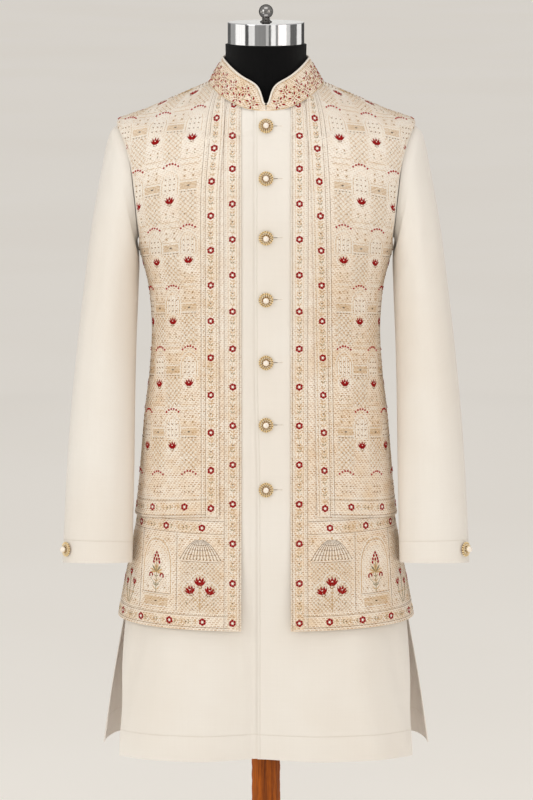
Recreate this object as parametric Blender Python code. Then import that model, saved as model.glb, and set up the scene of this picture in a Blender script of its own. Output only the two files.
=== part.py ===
"""Nehru jacket set for a man, size 40, worn by a limbless dress form on a wooden stand.

The set is an ivory long kurta with a buttoned front, an embroidered band collar, and an open
embroidered jacket cut in two lengths, the short layer lying on the long one. Metres, +Z up, the
floor at z = 0, the wearer facing -Y, so +X is the wearer's left.

The cloth is worked out from one surface: the kurta's outside, given by a table of rings. A point
on it has a ring height, which is its height at the side of the body, and an angle round the body:
0 at centre front, 90 at the wearer's left, 180 at centre back, -90 at the wearer's right.
"""

import math
from collections import namedtuple

import bpy
import numpy as np
from mathutils import Matrix, Vector

# Cloth: how far each face of a wall stands outside the kurta's surface.
Wall = namedtuple("Wall", "inner outer")
KURTA = Wall(-0.0012, 0.0)
KURTA_UNDERLAP = Wall(-0.0034, -0.0022)
JACKET_LONG = Wall(0.0012, 0.0025)
JACKET_SHORT = Wall(0.0038, 0.0054)
NECK_PRESS = 0.75  # the layers are pressed to this share of their depth at the neck seam
SEAM_GAP = 0.0004

# Heights.
KURTA_HEM_Z = 0.476
SLIT_TOP_Z = 0.800
LONG_HEM_Z = 0.685
SHORT_HEM_SIDE_Z = 0.848
SHORT_HEM_RISE = 0.016  # the short layer's hem is this much higher at front and back
NECK_RING_Z = 1.5260

# Front edges, as distances from centre front.
PLACKET_EDGE_X = -0.012  # the wearer's left front laps over to here
UNDERLAP_EDGE_X = 0.020
SINK_FROM_X, SINK_TO_X = 0.030, -0.016  # where the right front sinks in to pass under the left
LONG_EDGE_X = 0.038

Armhole = namedtuple("Armhole", "tip_z underarm_z spread")
KURTA_ARMHOLE = Armhole(1.461, 1.285, 28.0)
JACKET_ARMHOLE = Armhole(1.4625, 1.270, 31.0)

# The kurta's outside. front_width and back_width are the half widths that the front and the back
# are drawn to; they differ below the side slits. front and back are depths from the side seam.
# front_drop lowers the ring at centre front, back_rise lifts it at centre back, and power is the
# ring's squareness: 2 is an ellipse.
Ring = namedtuple("Ring", "z front_width back_width front back front_drop back_rise power")
BODY = [
    Ring(0.476, 0.270, 0.2580, 0.145, 0.150, 0.000, 0.000, 2.4),
    Ring(0.564, 0.248, 0.2455, 0.142, 0.147, 0.000, 0.000, 2.4),
    Ring(0.628, 0.234, 0.2345, 0.140, 0.143, 0.000, 0.000, 2.4),
    Ring(0.685, 0.2235, 0.224, 0.138, 0.138, 0.000, 0.000, 2.35),
    Ring(0.745, 0.214, 0.2140, 0.134, 0.133, 0.000, 0.000, 2.3),
    Ring(0.800, 0.206, 0.2060, 0.130, 0.128, 0.000, 0.000, 2.3),
    Ring(0.860, 0.198, 0.1980, 0.126, 0.124, 0.000, 0.000, 2.3),
    Ring(0.940, 0.191, 0.1910, 0.119, 0.120, 0.000, 0.000, 2.3),
    Ring(1.013, 0.1845, 0.1845, 0.112, 0.110, 0.000, 0.000, 2.3),
    Ring(1.075, 0.1762, 0.1762, 0.107, 0.099, 0.000, 0.000, 2.3),
    Ring(1.140, 0.1697, 0.1697, 0.105, 0.092, 0.000, 0.000, 2.3),
    Ring(1.200, 0.1735, 0.1735, 0.108, 0.093, 0.000, 0.000, 2.35),
    Ring(1.245, 0.1810, 0.1810, 0.112, 0.099, 0.000, 0.000, 2.45),
    Ring(1.285, 0.1940, 0.1940, 0.1155, 0.106, 0.000, 0.000, 2.5),
    Ring(1.327, 0.2140, 0.2140, 0.118, 0.111, 0.000, 0.000, 2.6),
    Ring(1.373, 0.2260, 0.2260, 0.1175, 0.113, 0.002, 0.000, 2.6),
    Ring(1.420, 0.2290, 0.2290, 0.112, 0.112, 0.010, 0.000, 2.4),
    Ring(1.461, 0.2280, 0.2280, 0.102, 0.104, 0.022, 0.000, 2.1),
    Ring(1.480, 0.1840, 0.1840, 0.098, 0.096, 0.030, 0.000, 2.0),
    Ring(1.499, 0.1410, 0.1410, 0.0955, 0.086, 0.036, 0.003, 2.0),
    Ring(1.517, 0.0995, 0.0995, 0.092, 0.075, 0.0385, 0.006, 2.0),
    Ring(1.526, 0.0770, 0.0770, 0.0885, 0.064, 0.0365, 0.008, 2.0),
]

# Where the kurta's front ends at the side: an angle below the slit's top, 90 above it.
FRONT_SLIT_ANGLE = [(0.476, 55.7), (0.564, 64.7), (0.628, 73.1), (0.685, 80.8), (0.800, 90.0)]

# How much further the jacket stands off the kurta towards its hem.
JACKET_FLARE = [(0.685, 0.0075), (0.745, 0.0055), (0.800, 0.0025), (0.870, 0.0), (1.600, 0.0)]
SHORT_FLARE = [(0.830, 0.0020), (0.930, 0.0), (1.600, 0.0)]

# The short layer's front edge, from the hem to the neck: distance from centre front.
SHORT_EDGE_RIGHT = [(0.848, 0.0725), (1.350, 0.0715), (1.450, 0.066), (1.530, 0.0620)]
SHORT_EDGE_LEFT = [(0.848, 0.0790), (1.100, 0.0745), (1.350, 0.0700), (1.530, 0.0610)]

# The front skirt hangs inwards beside the placket: depth at the hem, and the reach of the hollow.
SKIRT_HOLLOW_RIGHT = 0.026
SKIRT_HOLLOW_LEFT = 0.017
SKIRT_HOLLOW_REACH = 0.075
SKIRT_HOLLOW_TOP_Z = 0.800

# A sleeve, from the armhole to the cuff: its outer and inner edge in front view, the ring's middle
# from front to back, half its depth, how far its front is raised, and how much of the armhole's
# own outline is left in it.
Cuff = namedtuple("Cuff", "out_x out_z in_x in_z mid_y half_depth rake armhole_share")
SLEEVE = [
    Cuff(0.2285, 1.461, 0.1945, 1.285, 0.000, 0.063, 0.000, 1.00),
    Cuff(0.2405, 1.451, 0.2010, 1.270, 0.000, 0.066, 0.000, 0.80),
    Cuff(0.2480, 1.430, 0.2020, 1.256, 0.000, 0.069, 0.000, 0.50),
    Cuff(0.2555, 1.392, 0.2000, 1.238, -0.001, 0.071, 0.002, 0.20),
    Cuff(0.2635, 1.350, 0.1980, 1.216, -0.004, 0.071, 0.004, 0.00),
    Cuff(0.2708, 1.308, 0.1980, 1.192, -0.008, 0.069, 0.006, 0.00),
    Cuff(0.2845, 1.203, 0.2000, 1.116, -0.018, 0.064, 0.008, 0.00),
    Cuff(0.2968, 1.095, 0.2030, 1.035, -0.030, 0.057, 0.009, 0.00),
    Cuff(0.3070, 0.985, 0.2055, 0.953, -0.043, 0.050, 0.009, 0.00),
    Cuff(0.3135, 0.880, 0.2070, 0.870, -0.054, 0.045, 0.008, 0.00),
    Cuff(0.3178, 0.779, 0.2095, 0.779, -0.062, 0.041, 0.006, 0.00),
]
SLEEVE_WALL = 0.0012
SLEEVE_FACETS = 18

# The collar band: the outer face of its top edge. Its foot is seated on the cloth at the neck.
Band = namedtuple("Band", "half_width front back side_z front_drop back_rise")
COLLAR_TOP = Band(0.0685, 0.0750, 0.0690, 1.5620, 0.0365, 0.012)
COLLAR_FOOT_Z = (1.5215, 1.5240)  # the ring heights under its outer and its inner face
COLLAR_WALL = 0.0030
COLLAR_NOTCH_X = 0.020  # from centre front to where the collar reaches its full height
COLLAR_MEET_SHARE = 0.20  # the height at which the two ends part, as a share
COLLAR_SEAT_OPEN = 0.0005  # its foot's distance off the kurta between the jacket's fronts
PIPING_RADIUS = 0.0016
PIPING_GAP = 0.0007  # it lets the piping clear the collar at the bends of the notch

# Rows of each cloth grid, by ring height.
SKIRT_ROWS = [0.476, 0.530, 0.585, 0.635]
LOWER_ROWS = [0.685, 0.745, 0.800]
UPPER_ROWS = [
    0.885, 0.950, 1.013, 1.075, 1.140, 1.200, 1.245, 1.270, 1.285,
    1.300, 1.330, 1.373, 1.415, 1.445, 1.461, 1.464, 1.480, 1.503, 1.517, 1.526,
]  # fmt: skip
# Columns that the front's layers share, as shares of the angle from centre front to the side.
FRONT_COLUMNS = [0.0, 0.11, 0.24, 0.38, 0.53, 0.69, 0.86]
BACK_COLUMNS = 10

# Buttons: gilt settings with a pearl.
BUTTON_HEIGHTS = [1.4655, 1.3865, 1.2955, 1.1985, 1.1005, 1.0040, 0.9040]
BUTTON_RADIUS = 0.0115
BUTTON_FACETS = 12
BUTTON_OFF_CLOTH = 0.0004
# The setting's turned outline, as (radius, height) from its back to the pearl's seat.
BUTTON_OUTLINE = [(0.0070, 0.0), (0.0115, 0.0016), (0.0112, 0.0032), (0.0078, 0.0046), (0.0040, 0.0036)]
PEARL_RADIUS = 0.0042
PEARL_LIFT = 0.0034
CUFF_BUTTON_Z = 0.800
CUFF_BUTTON_ANGLE = 38.0  # round the sleeve, from its outer edge to its front

# The dress form: like the body, in its own rings, under the cloth.
Trunk = namedtuple("Trunk", "z half_width front back front_drop power")
FORM = [
    Trunk(0.800, 0.176, 0.104, 0.100, 0.000, 2.2),
    Trunk(0.812, 0.184, 0.112, 0.108, 0.000, 2.2),
    Trunk(0.900, 0.184, 0.112, 0.112, 0.000, 2.2),
    Trunk(0.980, 0.178, 0.105, 0.106, 0.000, 2.2),
    Trunk(1.075, 0.164, 0.098, 0.090, 0.000, 2.2),
    Trunk(1.140, 0.158, 0.096, 0.083, 0.000, 2.2),
    Trunk(1.200, 0.163, 0.099, 0.085, 0.000, 2.2),
    Trunk(1.285, 0.178, 0.108, 0.099, 0.000, 2.3),
    Trunk(1.373, 0.196, 0.111, 0.106, 0.002, 2.3),
    Trunk(1.420, 0.205, 0.106, 0.105, 0.010, 2.2),
    Trunk(1.448, 0.214, 0.0995, 0.1010, 0.018, 2.1),
    Trunk(1.464, 0.208, 0.0970, 0.0975, 0.0235, 2.0),
    Trunk(1.4810, 0.176, 0.0940, 0.0922, 0.0295, 2.0),
    Trunk(1.4986, 0.136, 0.0910, 0.0822, 0.0350, 2.0),
    Trunk(1.5153, 0.097, 0.0872, 0.0716, 0.0382, 2.0),
    Trunk(1.5245, 0.0735, 0.0818, 0.0622, 0.0360, 2.0),
    Trunk(1.5350, 0.0650, 0.0710, 0.0595, 0.0270, 2.0),
    Trunk(1.553, 0.0625, 0.0660, 0.0585, 0.012, 2.0),
    Trunk(1.5845, 0.0630, 0.0650, 0.0610, 0.000, 2.0),
]
FORM_FACETS = 28
NECK_MID_Y = -0.002

CAP_RADIUS = 0.0600
CAP_Z = (1.5849, 1.6190)
CAP_BEVEL = 0.0012
FINIAL_FACETS = 20
# The finial's turned outline, as (radius, height above the cap).
FINIAL_OUTLINE = [(0.0065, 0.0003), (0.0050, 0.0020), (0.0036, 0.0048)]
FINIAL_BALL_RADIUS = 0.0112
FINIAL_BALL_Z = 0.0150
POST_RADIUS = 0.0230
POST_Z = (0.0345, 0.7996)
POST_FACETS = 24
BASE_RADIUS = 0.225
# The base's turned outline, as (radius, height), from the floor to the post's seat.
BASE_OUTLINE = [(0.222, 0.0), (0.225, 0.004), (0.225, 0.016), (0.219, 0.022), (0.050, 0.025), (0.034, 0.0342)]
BASE_FACETS = 48

IVORY = (0.86, 0.82, 0.75)
EMBROIDERED = (0.80, 0.70, 0.55)
GILT = (0.72, 0.60, 0.38)
PEARL = (0.93, 0.89, 0.83)
BLACK = (0.012, 0.012, 0.013)
CHROME = (0.72, 0.72, 0.74)
WOOD = (0.30, 0.13, 0.035)


def make_material(name, colour, roughness, metallic=0.0):
    """A Principled material of one colour."""
    material = bpy.data.materials.new(name)
    material.use_nodes = True
    shader = material.node_tree.nodes["Principled BSDF"]
    shader.inputs["Base Color"].default_value = (*colour, 1.0)
    shader.inputs["Roughness"].default_value = roughness
    shader.inputs["Metallic"].default_value = metallic
    return material


def monotone_slopes(x, y):
    """Slopes at the knots of a cubic through them that never overshoots."""
    steps = np.diff(y) / np.diff(x)
    slopes = np.concatenate([[steps[0]], np.zeros(len(x) - 2), [steps[-1]]])
    for i in range(1, len(x) - 1):
        if steps[i - 1] * steps[i] > 0:
            before, after = x[i] - x[i - 1], x[i + 1] - x[i]
            w1, w2 = 2 * after + before, after + 2 * before
            slopes[i] = (w1 + w2) / (w1 / steps[i - 1] + w2 / steps[i])
    return slopes


def curve_through(pairs):
    """A smooth function through (x, y) pairs, level past both ends of them."""
    x = np.array([p[0] for p in pairs], float)
    y = np.array([p[1] for p in pairs], float)
    slopes = monotone_slopes(x, y)

    def value(at):
        at = min(max(at, x[0]), x[-1])
        i = min(int(np.searchsorted(x, at, side="right")) - 1, len(x) - 2)
        width = x[i + 1] - x[i]
        t = (at - x[i]) / width
        rise = y[i + 1] - y[i]
        a = width * slopes[i] - rise
        b = rise - width * slopes[i + 1]
        return y[i] + t * rise + t * (1 - t) * (a * (1 - t) + b * t)

    return value


def columns_of(table):
    """One smooth function of the first column for each other column of a table, by name."""
    first = table[0]._fields[0]
    return {
        name: curve_through([(getattr(row, first), getattr(row, name)) for row in table])
        for name in table[0]._fields[1:]
    }


BODY_AT = columns_of(BODY)
FORM_AT = columns_of(FORM)
FLARE_AT = curve_through(JACKET_FLARE)
SHORT_FLARE_AT = curve_through(SHORT_FLARE)
SLIT_AT = curve_through(FRONT_SLIT_ANGLE)
SHORT_EDGE_RIGHT_AT = curve_through(SHORT_EDGE_RIGHT)
SHORT_EDGE_LEFT_AT = curve_through(SHORT_EDGE_LEFT)


def signed_power(value, exponent):
    return math.copysign(abs(value) ** exponent, value)


def body_point(z, angle, jacket=False):
    """A point of the kurta's outside, or of the same surface closed at the side for the jacket."""
    at_front = abs(angle) < 90
    s, c = math.sin(math.radians(angle)), math.cos(math.radians(angle))
    exponent = 2 / BODY_AT["power"](z)
    width = BODY_AT["front_width" if at_front and not jacket else "back_width"](z)
    depth = BODY_AT["front" if at_front else "back"](z)
    shift = -BODY_AT["front_drop"](z) if at_front else BODY_AT["back_rise"](z)
    point = Vector((width * signed_power(s, exponent), -depth * signed_power(c, exponent), z + shift * c * c))
    if at_front and z < SKIRT_HOLLOW_TOP_Z and not jacket:
        point.y += skirt_hollow(z, point.x)
    return point


def skirt_hollow(z, x):
    """How far the kurta's front skirt hangs in beside the placket."""
    fall = (SKIRT_HOLLOW_TOP_Z - z) / (SKIRT_HOLLOW_TOP_Z - KURTA_HEM_Z)
    side = 0.5 + 0.5 * math.tanh(x / 0.03)
    depth = SKIRT_HOLLOW_RIGHT * (1 - side) + SKIRT_HOLLOW_LEFT * side
    return depth * fall ** 1.5 * math.exp(-((x / SKIRT_HOLLOW_REACH) ** 2))


def body_normal(z, angle, jacket=False):
    """The outward direction at a point of the surface."""
    up, round_ = 0.004, 1.5
    along = body_point(z + up, angle, jacket) - body_point(z - up, angle, jacket)
    across = body_point(z, angle + round_, jacket) - body_point(z, angle - round_, jacket)
    return across.cross(along).normalized()


def pressed(z):
    """The layers' depth as a share: 1 on the body, less towards the neck seam."""
    t = min(max((z - 1.461) / (NECK_RING_Z - 1.461), 0.0), 1.0)
    return 1 + (NECK_PRESS - 1) * t


def layer_point(z, angle, stand_off, jacket=False, short=False):
    """A point that stands off the kurta's outside."""
    if jacket:
        stand_off = stand_off * pressed(z) + FLARE_AT(z)
    if short:
        stand_off += SHORT_FLARE_AT(z)
    return body_point(z, angle, jacket) + body_normal(z, angle, jacket) * stand_off


def angle_at_x(z, x, jacket=False):
    """The angle at which the front of a ring reaches x."""
    width = BODY_AT["back_width" if jacket else "front_width"](z)
    ratio = min(abs(x) / width, 1.0)
    return math.copysign(math.degrees(math.asin(ratio ** (BODY_AT["power"](z) / 2))), x)


def armhole_angle(armhole, z):
    """How far an armhole's edge is from the side of the body at a ring, in degrees."""
    middle, half = (armhole.tip_z + armhole.underarm_z) / 2, (armhole.tip_z - armhole.underarm_z) / 2
    height = (z - middle) / half
    return armhole.spread * math.sqrt(1 - height * height) if abs(height) < 1 else 0.0


def armhole_point(armhole, turn):
    """A point of the kurta's armhole: turn 0 is the shoulder tip, 90 the front, 180 the underarm."""
    middle, half = (armhole.tip_z + armhole.underarm_z) / 2, (armhole.tip_z - armhole.underarm_z) / 2
    z = middle + half * math.cos(math.radians(turn))
    return body_point(z, 90 - armhole.spread * math.sin(math.radians(turn)))


def new_object(name, points, faces, material, smooth_below=40.0):
    """A mesh object from points and faces, smooth except at sharp edges."""
    mesh = bpy.data.meshes.new(name)
    mesh.from_pydata([tuple(p) for p in points], [], faces)
    mesh.shade_smooth()
    mesh.set_sharp_from_angle(angle=math.radians(smooth_below))
    mesh.materials.append(material)
    obj = bpy.data.objects.new(name, mesh)
    bpy.context.scene.collection.objects.link(obj)
    return obj


def cloth_wall(name, outer, inner, material, ring=False):
    """A closed wall between two grids of points. Columns run to the wearer's left, rows upwards,
    and with ring the last column joins the first."""
    rows, columns = len(outer), len(outer[0])
    points = [p for row in outer for p in row] + [p for row in inner for p in row]
    inner_start = rows * columns

    def at(i, j, inside=False):
        return i * columns + j % columns + (inner_start if inside else 0)

    faces = []
    spans = columns if ring else columns - 1
    for i in range(rows - 1):
        for j in range(spans):
            faces.append((at(i, j), at(i, j + 1), at(i + 1, j + 1), at(i + 1, j)))
            faces.append((at(i, j, True), at(i + 1, j, True), at(i + 1, j + 1, True), at(i, j + 1, True)))
    top = rows - 1
    for j in range(spans):
        faces.append((at(0, j), at(0, j, True), at(0, j + 1, True), at(0, j + 1)))
        faces.append((at(top, j), at(top, j + 1), at(top, j + 1, True), at(top, j, True)))
    if not ring:
        last = columns - 1
        for i in range(top):
            faces.append((at(i, 0), at(i + 1, 0), at(i + 1, 0, True), at(i, 0, True)))
            faces.append((at(i, last), at(i, last, True), at(i + 1, last, True), at(i + 1, last)))
    return new_object(name, points, faces, material)


def turned(name, outline, facets, material, cap_start=True, cap_end=True):
    """A solid turned about Z from (radius, height) points, lowest first."""
    points, faces = [], []
    for radius, height in outline:
        for j in range(facets):
            turn = 2 * math.pi * j / facets
            points.append((radius * math.cos(turn), radius * math.sin(turn), height))
    for i in range(len(outline) - 1):
        for j in range(facets):
            k = (j + 1) % facets
            faces.append((i * facets + j, i * facets + k, (i + 1) * facets + k, (i + 1) * facets + j))
    if cap_start:
        faces.append(tuple(reversed(range(facets))))
    if cap_end:
        faces.append(tuple(range((len(outline) - 1) * facets, len(outline) * facets)))
    return new_object(name, points, faces, material)


def panel(name, rows, angles_at, wall, material, jacket=False, short=False):
    """A cloth panel over ring heights. angles_at gives the angles of a row's points, which run to
    the wearer's left, as a list."""
    outer, inner = [], []
    for i, z in enumerate(rows):
        outer_row, inner_row = [], []
        for angle in angles_at(z):
            height = z
            if short and i == 0:
                height = SHORT_HEM_SIDE_Z + SHORT_HEM_RISE * math.cos(math.radians(angle)) ** 2
            outer_row.append(layer_point(height, angle, wall.outer, jacket, short))
            inner_row.append(layer_point(height, angle, wall.inner, jacket, short))
        outer.append(outer_row)
        inner.append(inner_row)
    return cloth_wall(name, outer, inner, material)


def kurta_side(z):
    """Where the kurta's front ends at the side, in degrees from centre front."""
    return SLIT_AT(z) if z < SLIT_TOP_Z else 90 - armhole_angle(KURTA_ARMHOLE, z)


def side_edge(armhole, z, slit=False):
    """Where a layer's front ends at the side: half a seam gap short of its armhole or side seam."""
    edge = kurta_side(z) if slit else 90 - armhole_angle(armhole, z)
    return edge - math.degrees(SEAM_GAP / BODY_AT["back"](z))


def shared_reach(z):
    """The angle that the columns shared by the layers are shares of."""
    if z < LONG_HEM_Z:
        return 90 * SLIT_AT(z) / SLIT_AT(LONG_HEM_Z)
    return 90 - armhole_angle(JACKET_ARMHOLE, z)


def front_columns(z):
    """The angles of the columns that the front's layers share. Near the neck, where the front
    edges lie further round than some columns do, those are pushed on past the edges."""
    angles = [share * shared_reach(z) for share in FRONT_COLUMNS]
    short = angle_at_x(z, max(SHORT_EDGE_RIGHT_AT(z), SHORT_EDGE_LEFT_AT(z)), True)
    side = 90 - armhole_angle(JACKET_ARMHOLE, z)
    step = (side - short) / (len(angles) - 2) * 0.7
    angles = [max(angle, short + (i - 2) * step) if i > 2 else angle for i, angle in enumerate(angles)]
    angles[2] = max(angles[2], (angle_at_x(z, LONG_EDGE_X, True) + angles[3]) / 2)
    angles[1] = max(angles[1], angle_at_x(z, UNDERLAP_EDGE_X + 0.004))
    return angles


def front_angles(z, start, side, first=0):
    """The angles of a left front's points: its front edge, the shared columns from the first that
    it has, and its edge at the side."""
    return [start] + front_columns(z)[first:] + [side]


def back_angles(z, armhole):
    """The angles of a back's points, from the wearer's left to the right."""
    reach = 90 - armhole_angle(JACKET_ARMHOLE, z)
    half = 90 - armhole_angle(armhole, z) - math.degrees(SEAM_GAP / BODY_AT["back"](z))
    shared = [reach * (1 - 2 * j / BACK_COLUMNS) for j in range(1, BACK_COLUMNS)]
    return [180 - angle for angle in [half] + shared + [-half]]


def make_kurta(cloth):
    """The long kurta: two fronts that lap at the placket, a back, and a pair of sleeves."""
    rows = SKIRT_ROWS + LOWER_ROWS + UPPER_ROWS
    panel("kurta_front_left", rows, lambda z: front_angles(
        z, angle_at_x(z, PLACKET_EDGE_X), side_edge(KURTA_ARMHOLE, z, slit=True)), KURTA, cloth)
    kurta_front_right(rows, cloth)
    panel("kurta_back", rows, lambda z: back_angles(z, KURTA_ARMHOLE), KURTA, cloth)
    for side, name in ((1, "kurta_sleeve_left"), (-1, "kurta_sleeve_right")):
        make_sleeve(name, side, cloth)


def kurta_front_right(rows, cloth):
    """The wearer's right front. It passes under the left one, so it sinks in towards the placket."""
    outer, inner = [], []
    for z in rows:
        sink_to, end = angle_at_x(z, SINK_TO_X), angle_at_x(z, UNDERLAP_EDGE_X)
        full = front_angles(z, angle_at_x(z, SINK_FROM_X), side_edge(KURTA_ARMHOLE, z, slit=True), first=2)
        places = [(-angle, 0.0) for angle in reversed(full)] + [(sink_to, 1.0), (0.0, 1.0), (end, 1.0)]
        outer.append([layer_point(z, a, KURTA.outer + sunk * (KURTA_UNDERLAP.outer - KURTA.outer))
                      for a, sunk in places])
        inner.append([layer_point(z, a, KURTA.inner + sunk * (KURTA_UNDERLAP.inner - KURTA.inner))
                      for a, sunk in places])
    return cloth_wall("kurta_front_right", outer, inner, cloth)


def sleeve_ring_point(cuff, turn, side, inwards=0.0):
    """A point of a sleeve's ring: turn 0 is its outer edge, 90 its front, 180 its inner edge."""
    c, s = math.cos(math.radians(turn)), math.sin(math.radians(turn))
    out, in_ = Vector((cuff.out_x, 0, cuff.out_z)), Vector((cuff.in_x, 0, cuff.in_z))
    middle, half = (out + in_) / 2, (out - in_) / 2
    length = half.length
    point = middle + half * (c * (length - inwards) / length)
    point.y = cuff.mid_y - s * (cuff.half_depth - inwards)
    point.z += s * cuff.rake
    if cuff.armhole_share:
        first = SLEEVE[0]
        own = armhole_point(KURTA_ARMHOLE, turn)
        plain = (Vector((first.out_x, 0, first.out_z)) + Vector((first.in_x, 0, first.in_z))) / 2
        plain += (Vector((first.out_x, 0, first.out_z)) - Vector((first.in_x, 0, first.in_z))) / 2 * c
        plain.y = -s * first.half_depth
        point += (own - plain) * cuff.armhole_share
    if cuff is SLEEVE[0]:
        point.x += 2 * SEAM_GAP
    point.x *= side
    return point


def make_sleeve(name, side, cloth):
    """A sleeve: a tube from the armhole to the open cuff."""
    outer, inner = [], []
    for cuff in reversed(SLEEVE):
        turns = [side * 360 * j / SLEEVE_FACETS for j in range(SLEEVE_FACETS)]
        outer.append([sleeve_ring_point(cuff, -turn, side) for turn in turns])
        inner.append([sleeve_ring_point(cuff, -turn, side, SLEEVE_WALL) for turn in turns])
    return cloth_wall(name, outer, inner, cloth, ring=True)


def make_jacket_layer(name, rows, wall, edges, first, cloth, short):
    """One layer of the jacket: two open fronts and a back. edges are the distances of its front
    edges from centre front, right and left, as functions of the ring height."""
    edge_right, edge_left = edges

    def front(z, edge):
        start = angle_at_x(z, edge(z), True)
        return front_angles(z, start, side_edge(JACKET_ARMHOLE, z), first)

    panel(f"{name}_front_left", rows, lambda z: front(z, edge_left), wall, cloth, True, short)
    panel(f"{name}_front_right", rows, lambda z: [-a for a in reversed(front(z, edge_right))],
          wall, cloth, True, short)
    panel(f"{name}_back", rows, lambda z: back_angles(z, JACKET_ARMHOLE), wall, cloth, True, short)


def make_jacket(cloth):
    """The open jacket: a long layer and a shorter one over it."""
    make_jacket_layer("jacket_long", LOWER_ROWS + UPPER_ROWS, JACKET_LONG,
                      (lambda z: LONG_EDGE_X, lambda z: LONG_EDGE_X), 2, cloth, short=False)
    make_jacket_layer("jacket_short", [SHORT_HEM_SIDE_Z] + UPPER_ROWS, JACKET_SHORT,
                      (SHORT_EDGE_RIGHT_AT, SHORT_EDGE_LEFT_AT), 3, cloth,
                      short=True)


def band_point(band, angle, inwards=0.0):
    """A point of a collar ring."""
    s, c = math.sin(math.radians(angle)), math.cos(math.radians(angle))
    depth = band.front if c > 0 else band.back
    shift = -band.front_drop if c > 0 else band.back_rise
    return Vector(((band.half_width - inwards) * s, -(depth - inwards) * c, band.side_z + shift * c * c))


def collar_share(angle):
    """How high the collar stands at an angle, as a share of its full height."""
    x = abs(COLLAR_TOP.half_width * math.sin(math.radians(angle)))
    if abs(angle) > 90:
        return 1.0
    t = min(x / COLLAR_NOTCH_X, 1.0)
    return COLLAR_MEET_SHARE + (1 - COLLAR_MEET_SHARE) * t * t * (3 - 2 * t)


def collar_foot(angle, inside):
    """A point of the collar's foot, seated on the jacket, or on the kurta at centre front."""
    z = COLLAR_FOOT_Z[1 if inside else 0]
    x = abs(body_point(z, angle).x) if abs(angle) < 90 else 1.0
    t = min(max((x - 0.026) / 0.010, 0.0), 1.0)
    on_jacket = JACKET_SHORT.outer * NECK_PRESS + 0.0006
    stand_off = COLLAR_SEAT_OPEN + (on_jacket - COLLAR_SEAT_OPEN) * t
    return body_point(z, angle) + body_normal(z, angle) * stand_off


def make_collar(cloth, edging):
    """The standing band collar, open in a rounded notch at the front, and the piping on its edge."""
    half = [0.25, 3.6, 5.4, 7.2, 9, 11, 13, 15, 17.5, 21, 28, 38, 49, 60, 72, 84, 97, 110, 124, 138, 152, 166]
    angles = [-a for a in half] + [-180.0] + [a for a in reversed(half)]
    steps = 3
    outer, inner = [], []
    for i in range(steps + 1):
        outer_row, inner_row = [], []
        for angle in angles:
            share = collar_share(angle) * i / steps
            outer_row.append(collar_foot(angle, False).lerp(band_point(COLLAR_TOP, angle), share))
            inner_row.append(collar_foot(angle, True).lerp(band_point(COLLAR_TOP, angle, COLLAR_WALL), share))
        outer.append(outer_row)
        inner.append(inner_row)
    # The angles run clockwise from above, so each row is turned round to run to the wearer's left.
    outer = [row[::-1] for row in outer]
    inner = [row[::-1] for row in inner]
    cloth_wall("collar", outer, inner, cloth)
    edge = [(a + b) / 2 for a, b in zip(outer[-1], inner[-1])][1:-1]
    sweep_tube("collar_piping", lift_edge(edge), PIPING_RADIUS, 6, edging)


def lift_edge(edge):
    """The piping's centreline: the collar's edge moved off it by the piping's radius and a gap."""
    lifted = []
    for i, point in enumerate(edge):
        along = edge[min(i + 1, len(edge) - 1)] - edge[max(i - 1, 0)]
        lifted.append(point + Vector((point.x, point.y, 0)).cross(along).normalized()
                      * (PIPING_RADIUS + PIPING_GAP))
    return lifted


def sweep_tube(name, line, radius, sides, material):
    """A round tube with flat ends along a line."""
    points, faces = [], []
    for i, point in enumerate(line):
        along = (line[min(i + 1, len(line) - 1)] - line[max(i - 1, 0)]).normalized()
        radial = Vector((point.x, point.y, 0))
        radial = (radial - along * radial.dot(along)).normalized()
        up = along.cross(radial)
        for j in range(sides):
            turn = 2 * math.pi * j / sides
            points.append(point + radial * (radius * math.cos(turn)) + up * (radius * math.sin(turn)))
    for i in range(len(line) - 1):
        for j in range(sides):
            k = (j + 1) % sides
            faces.append((i * sides + j, i * sides + k, (i + 1) * sides + k, (i + 1) * sides + j))
    faces.append(tuple(reversed(range(sides))))
    faces.append(tuple(range((len(line) - 1) * sides, len(line) * sides)))
    return new_object(name, points, faces, material)


def seat(obj, point, outward):
    """Puts a turned piece on cloth, its axis along the cloth's outward direction."""
    rotation = outward.to_track_quat("Z", "Y").to_matrix().to_4x4()
    obj.matrix_world = Matrix.Translation(point) @ rotation


def make_button(number, point, outward, gilt, pearl):
    """A gilt setting and its pearl, seated on the cloth."""
    setting = turned(f"button_{number}", BUTTON_OUTLINE, BUTTON_FACETS, gilt)
    seat(setting, point + outward * BUTTON_OFF_CLOTH, outward)
    rows = 6
    outline = [(PEARL_RADIUS * math.sin(math.pi * i / rows), -PEARL_RADIUS * math.cos(math.pi * i / rows))
               for i in range(1, rows)]
    stone = turned(f"pearl_{number}", outline, 10, pearl)
    seat(stone, point + outward * (BUTTON_OFF_CLOTH + PEARL_LIFT + PEARL_RADIUS), outward)


def placket_place(z):
    """The point and outward direction of the placket's front at a height, on the edge between the
    facets there."""
    line = [layer_point(ring, 0.0, KURTA.outer) for ring in SKIRT_ROWS + LOWER_ROWS + UPPER_ROWS]
    for below, above in zip(line, line[1:]):
        if below.z <= z < above.z:
            along = (above - below).normalized()
            return below.lerp(above, (z - below.z) / (above.z - below.z)), Vector((0, -along.z, along.y))
    raise ValueError(f"no placket at {z}")


def make_buttons(gilt, pearl):
    """Seven buttons down the placket and one on each cuff."""
    for i, z in enumerate(BUTTON_HEIGHTS):
        make_button(i + 1, *placket_place(z), gilt, pearl)
    for side, number in ((1, 8), (-1, 9)):
        make_button(number, *cuff_button_place(side), gilt, pearl)


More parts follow.
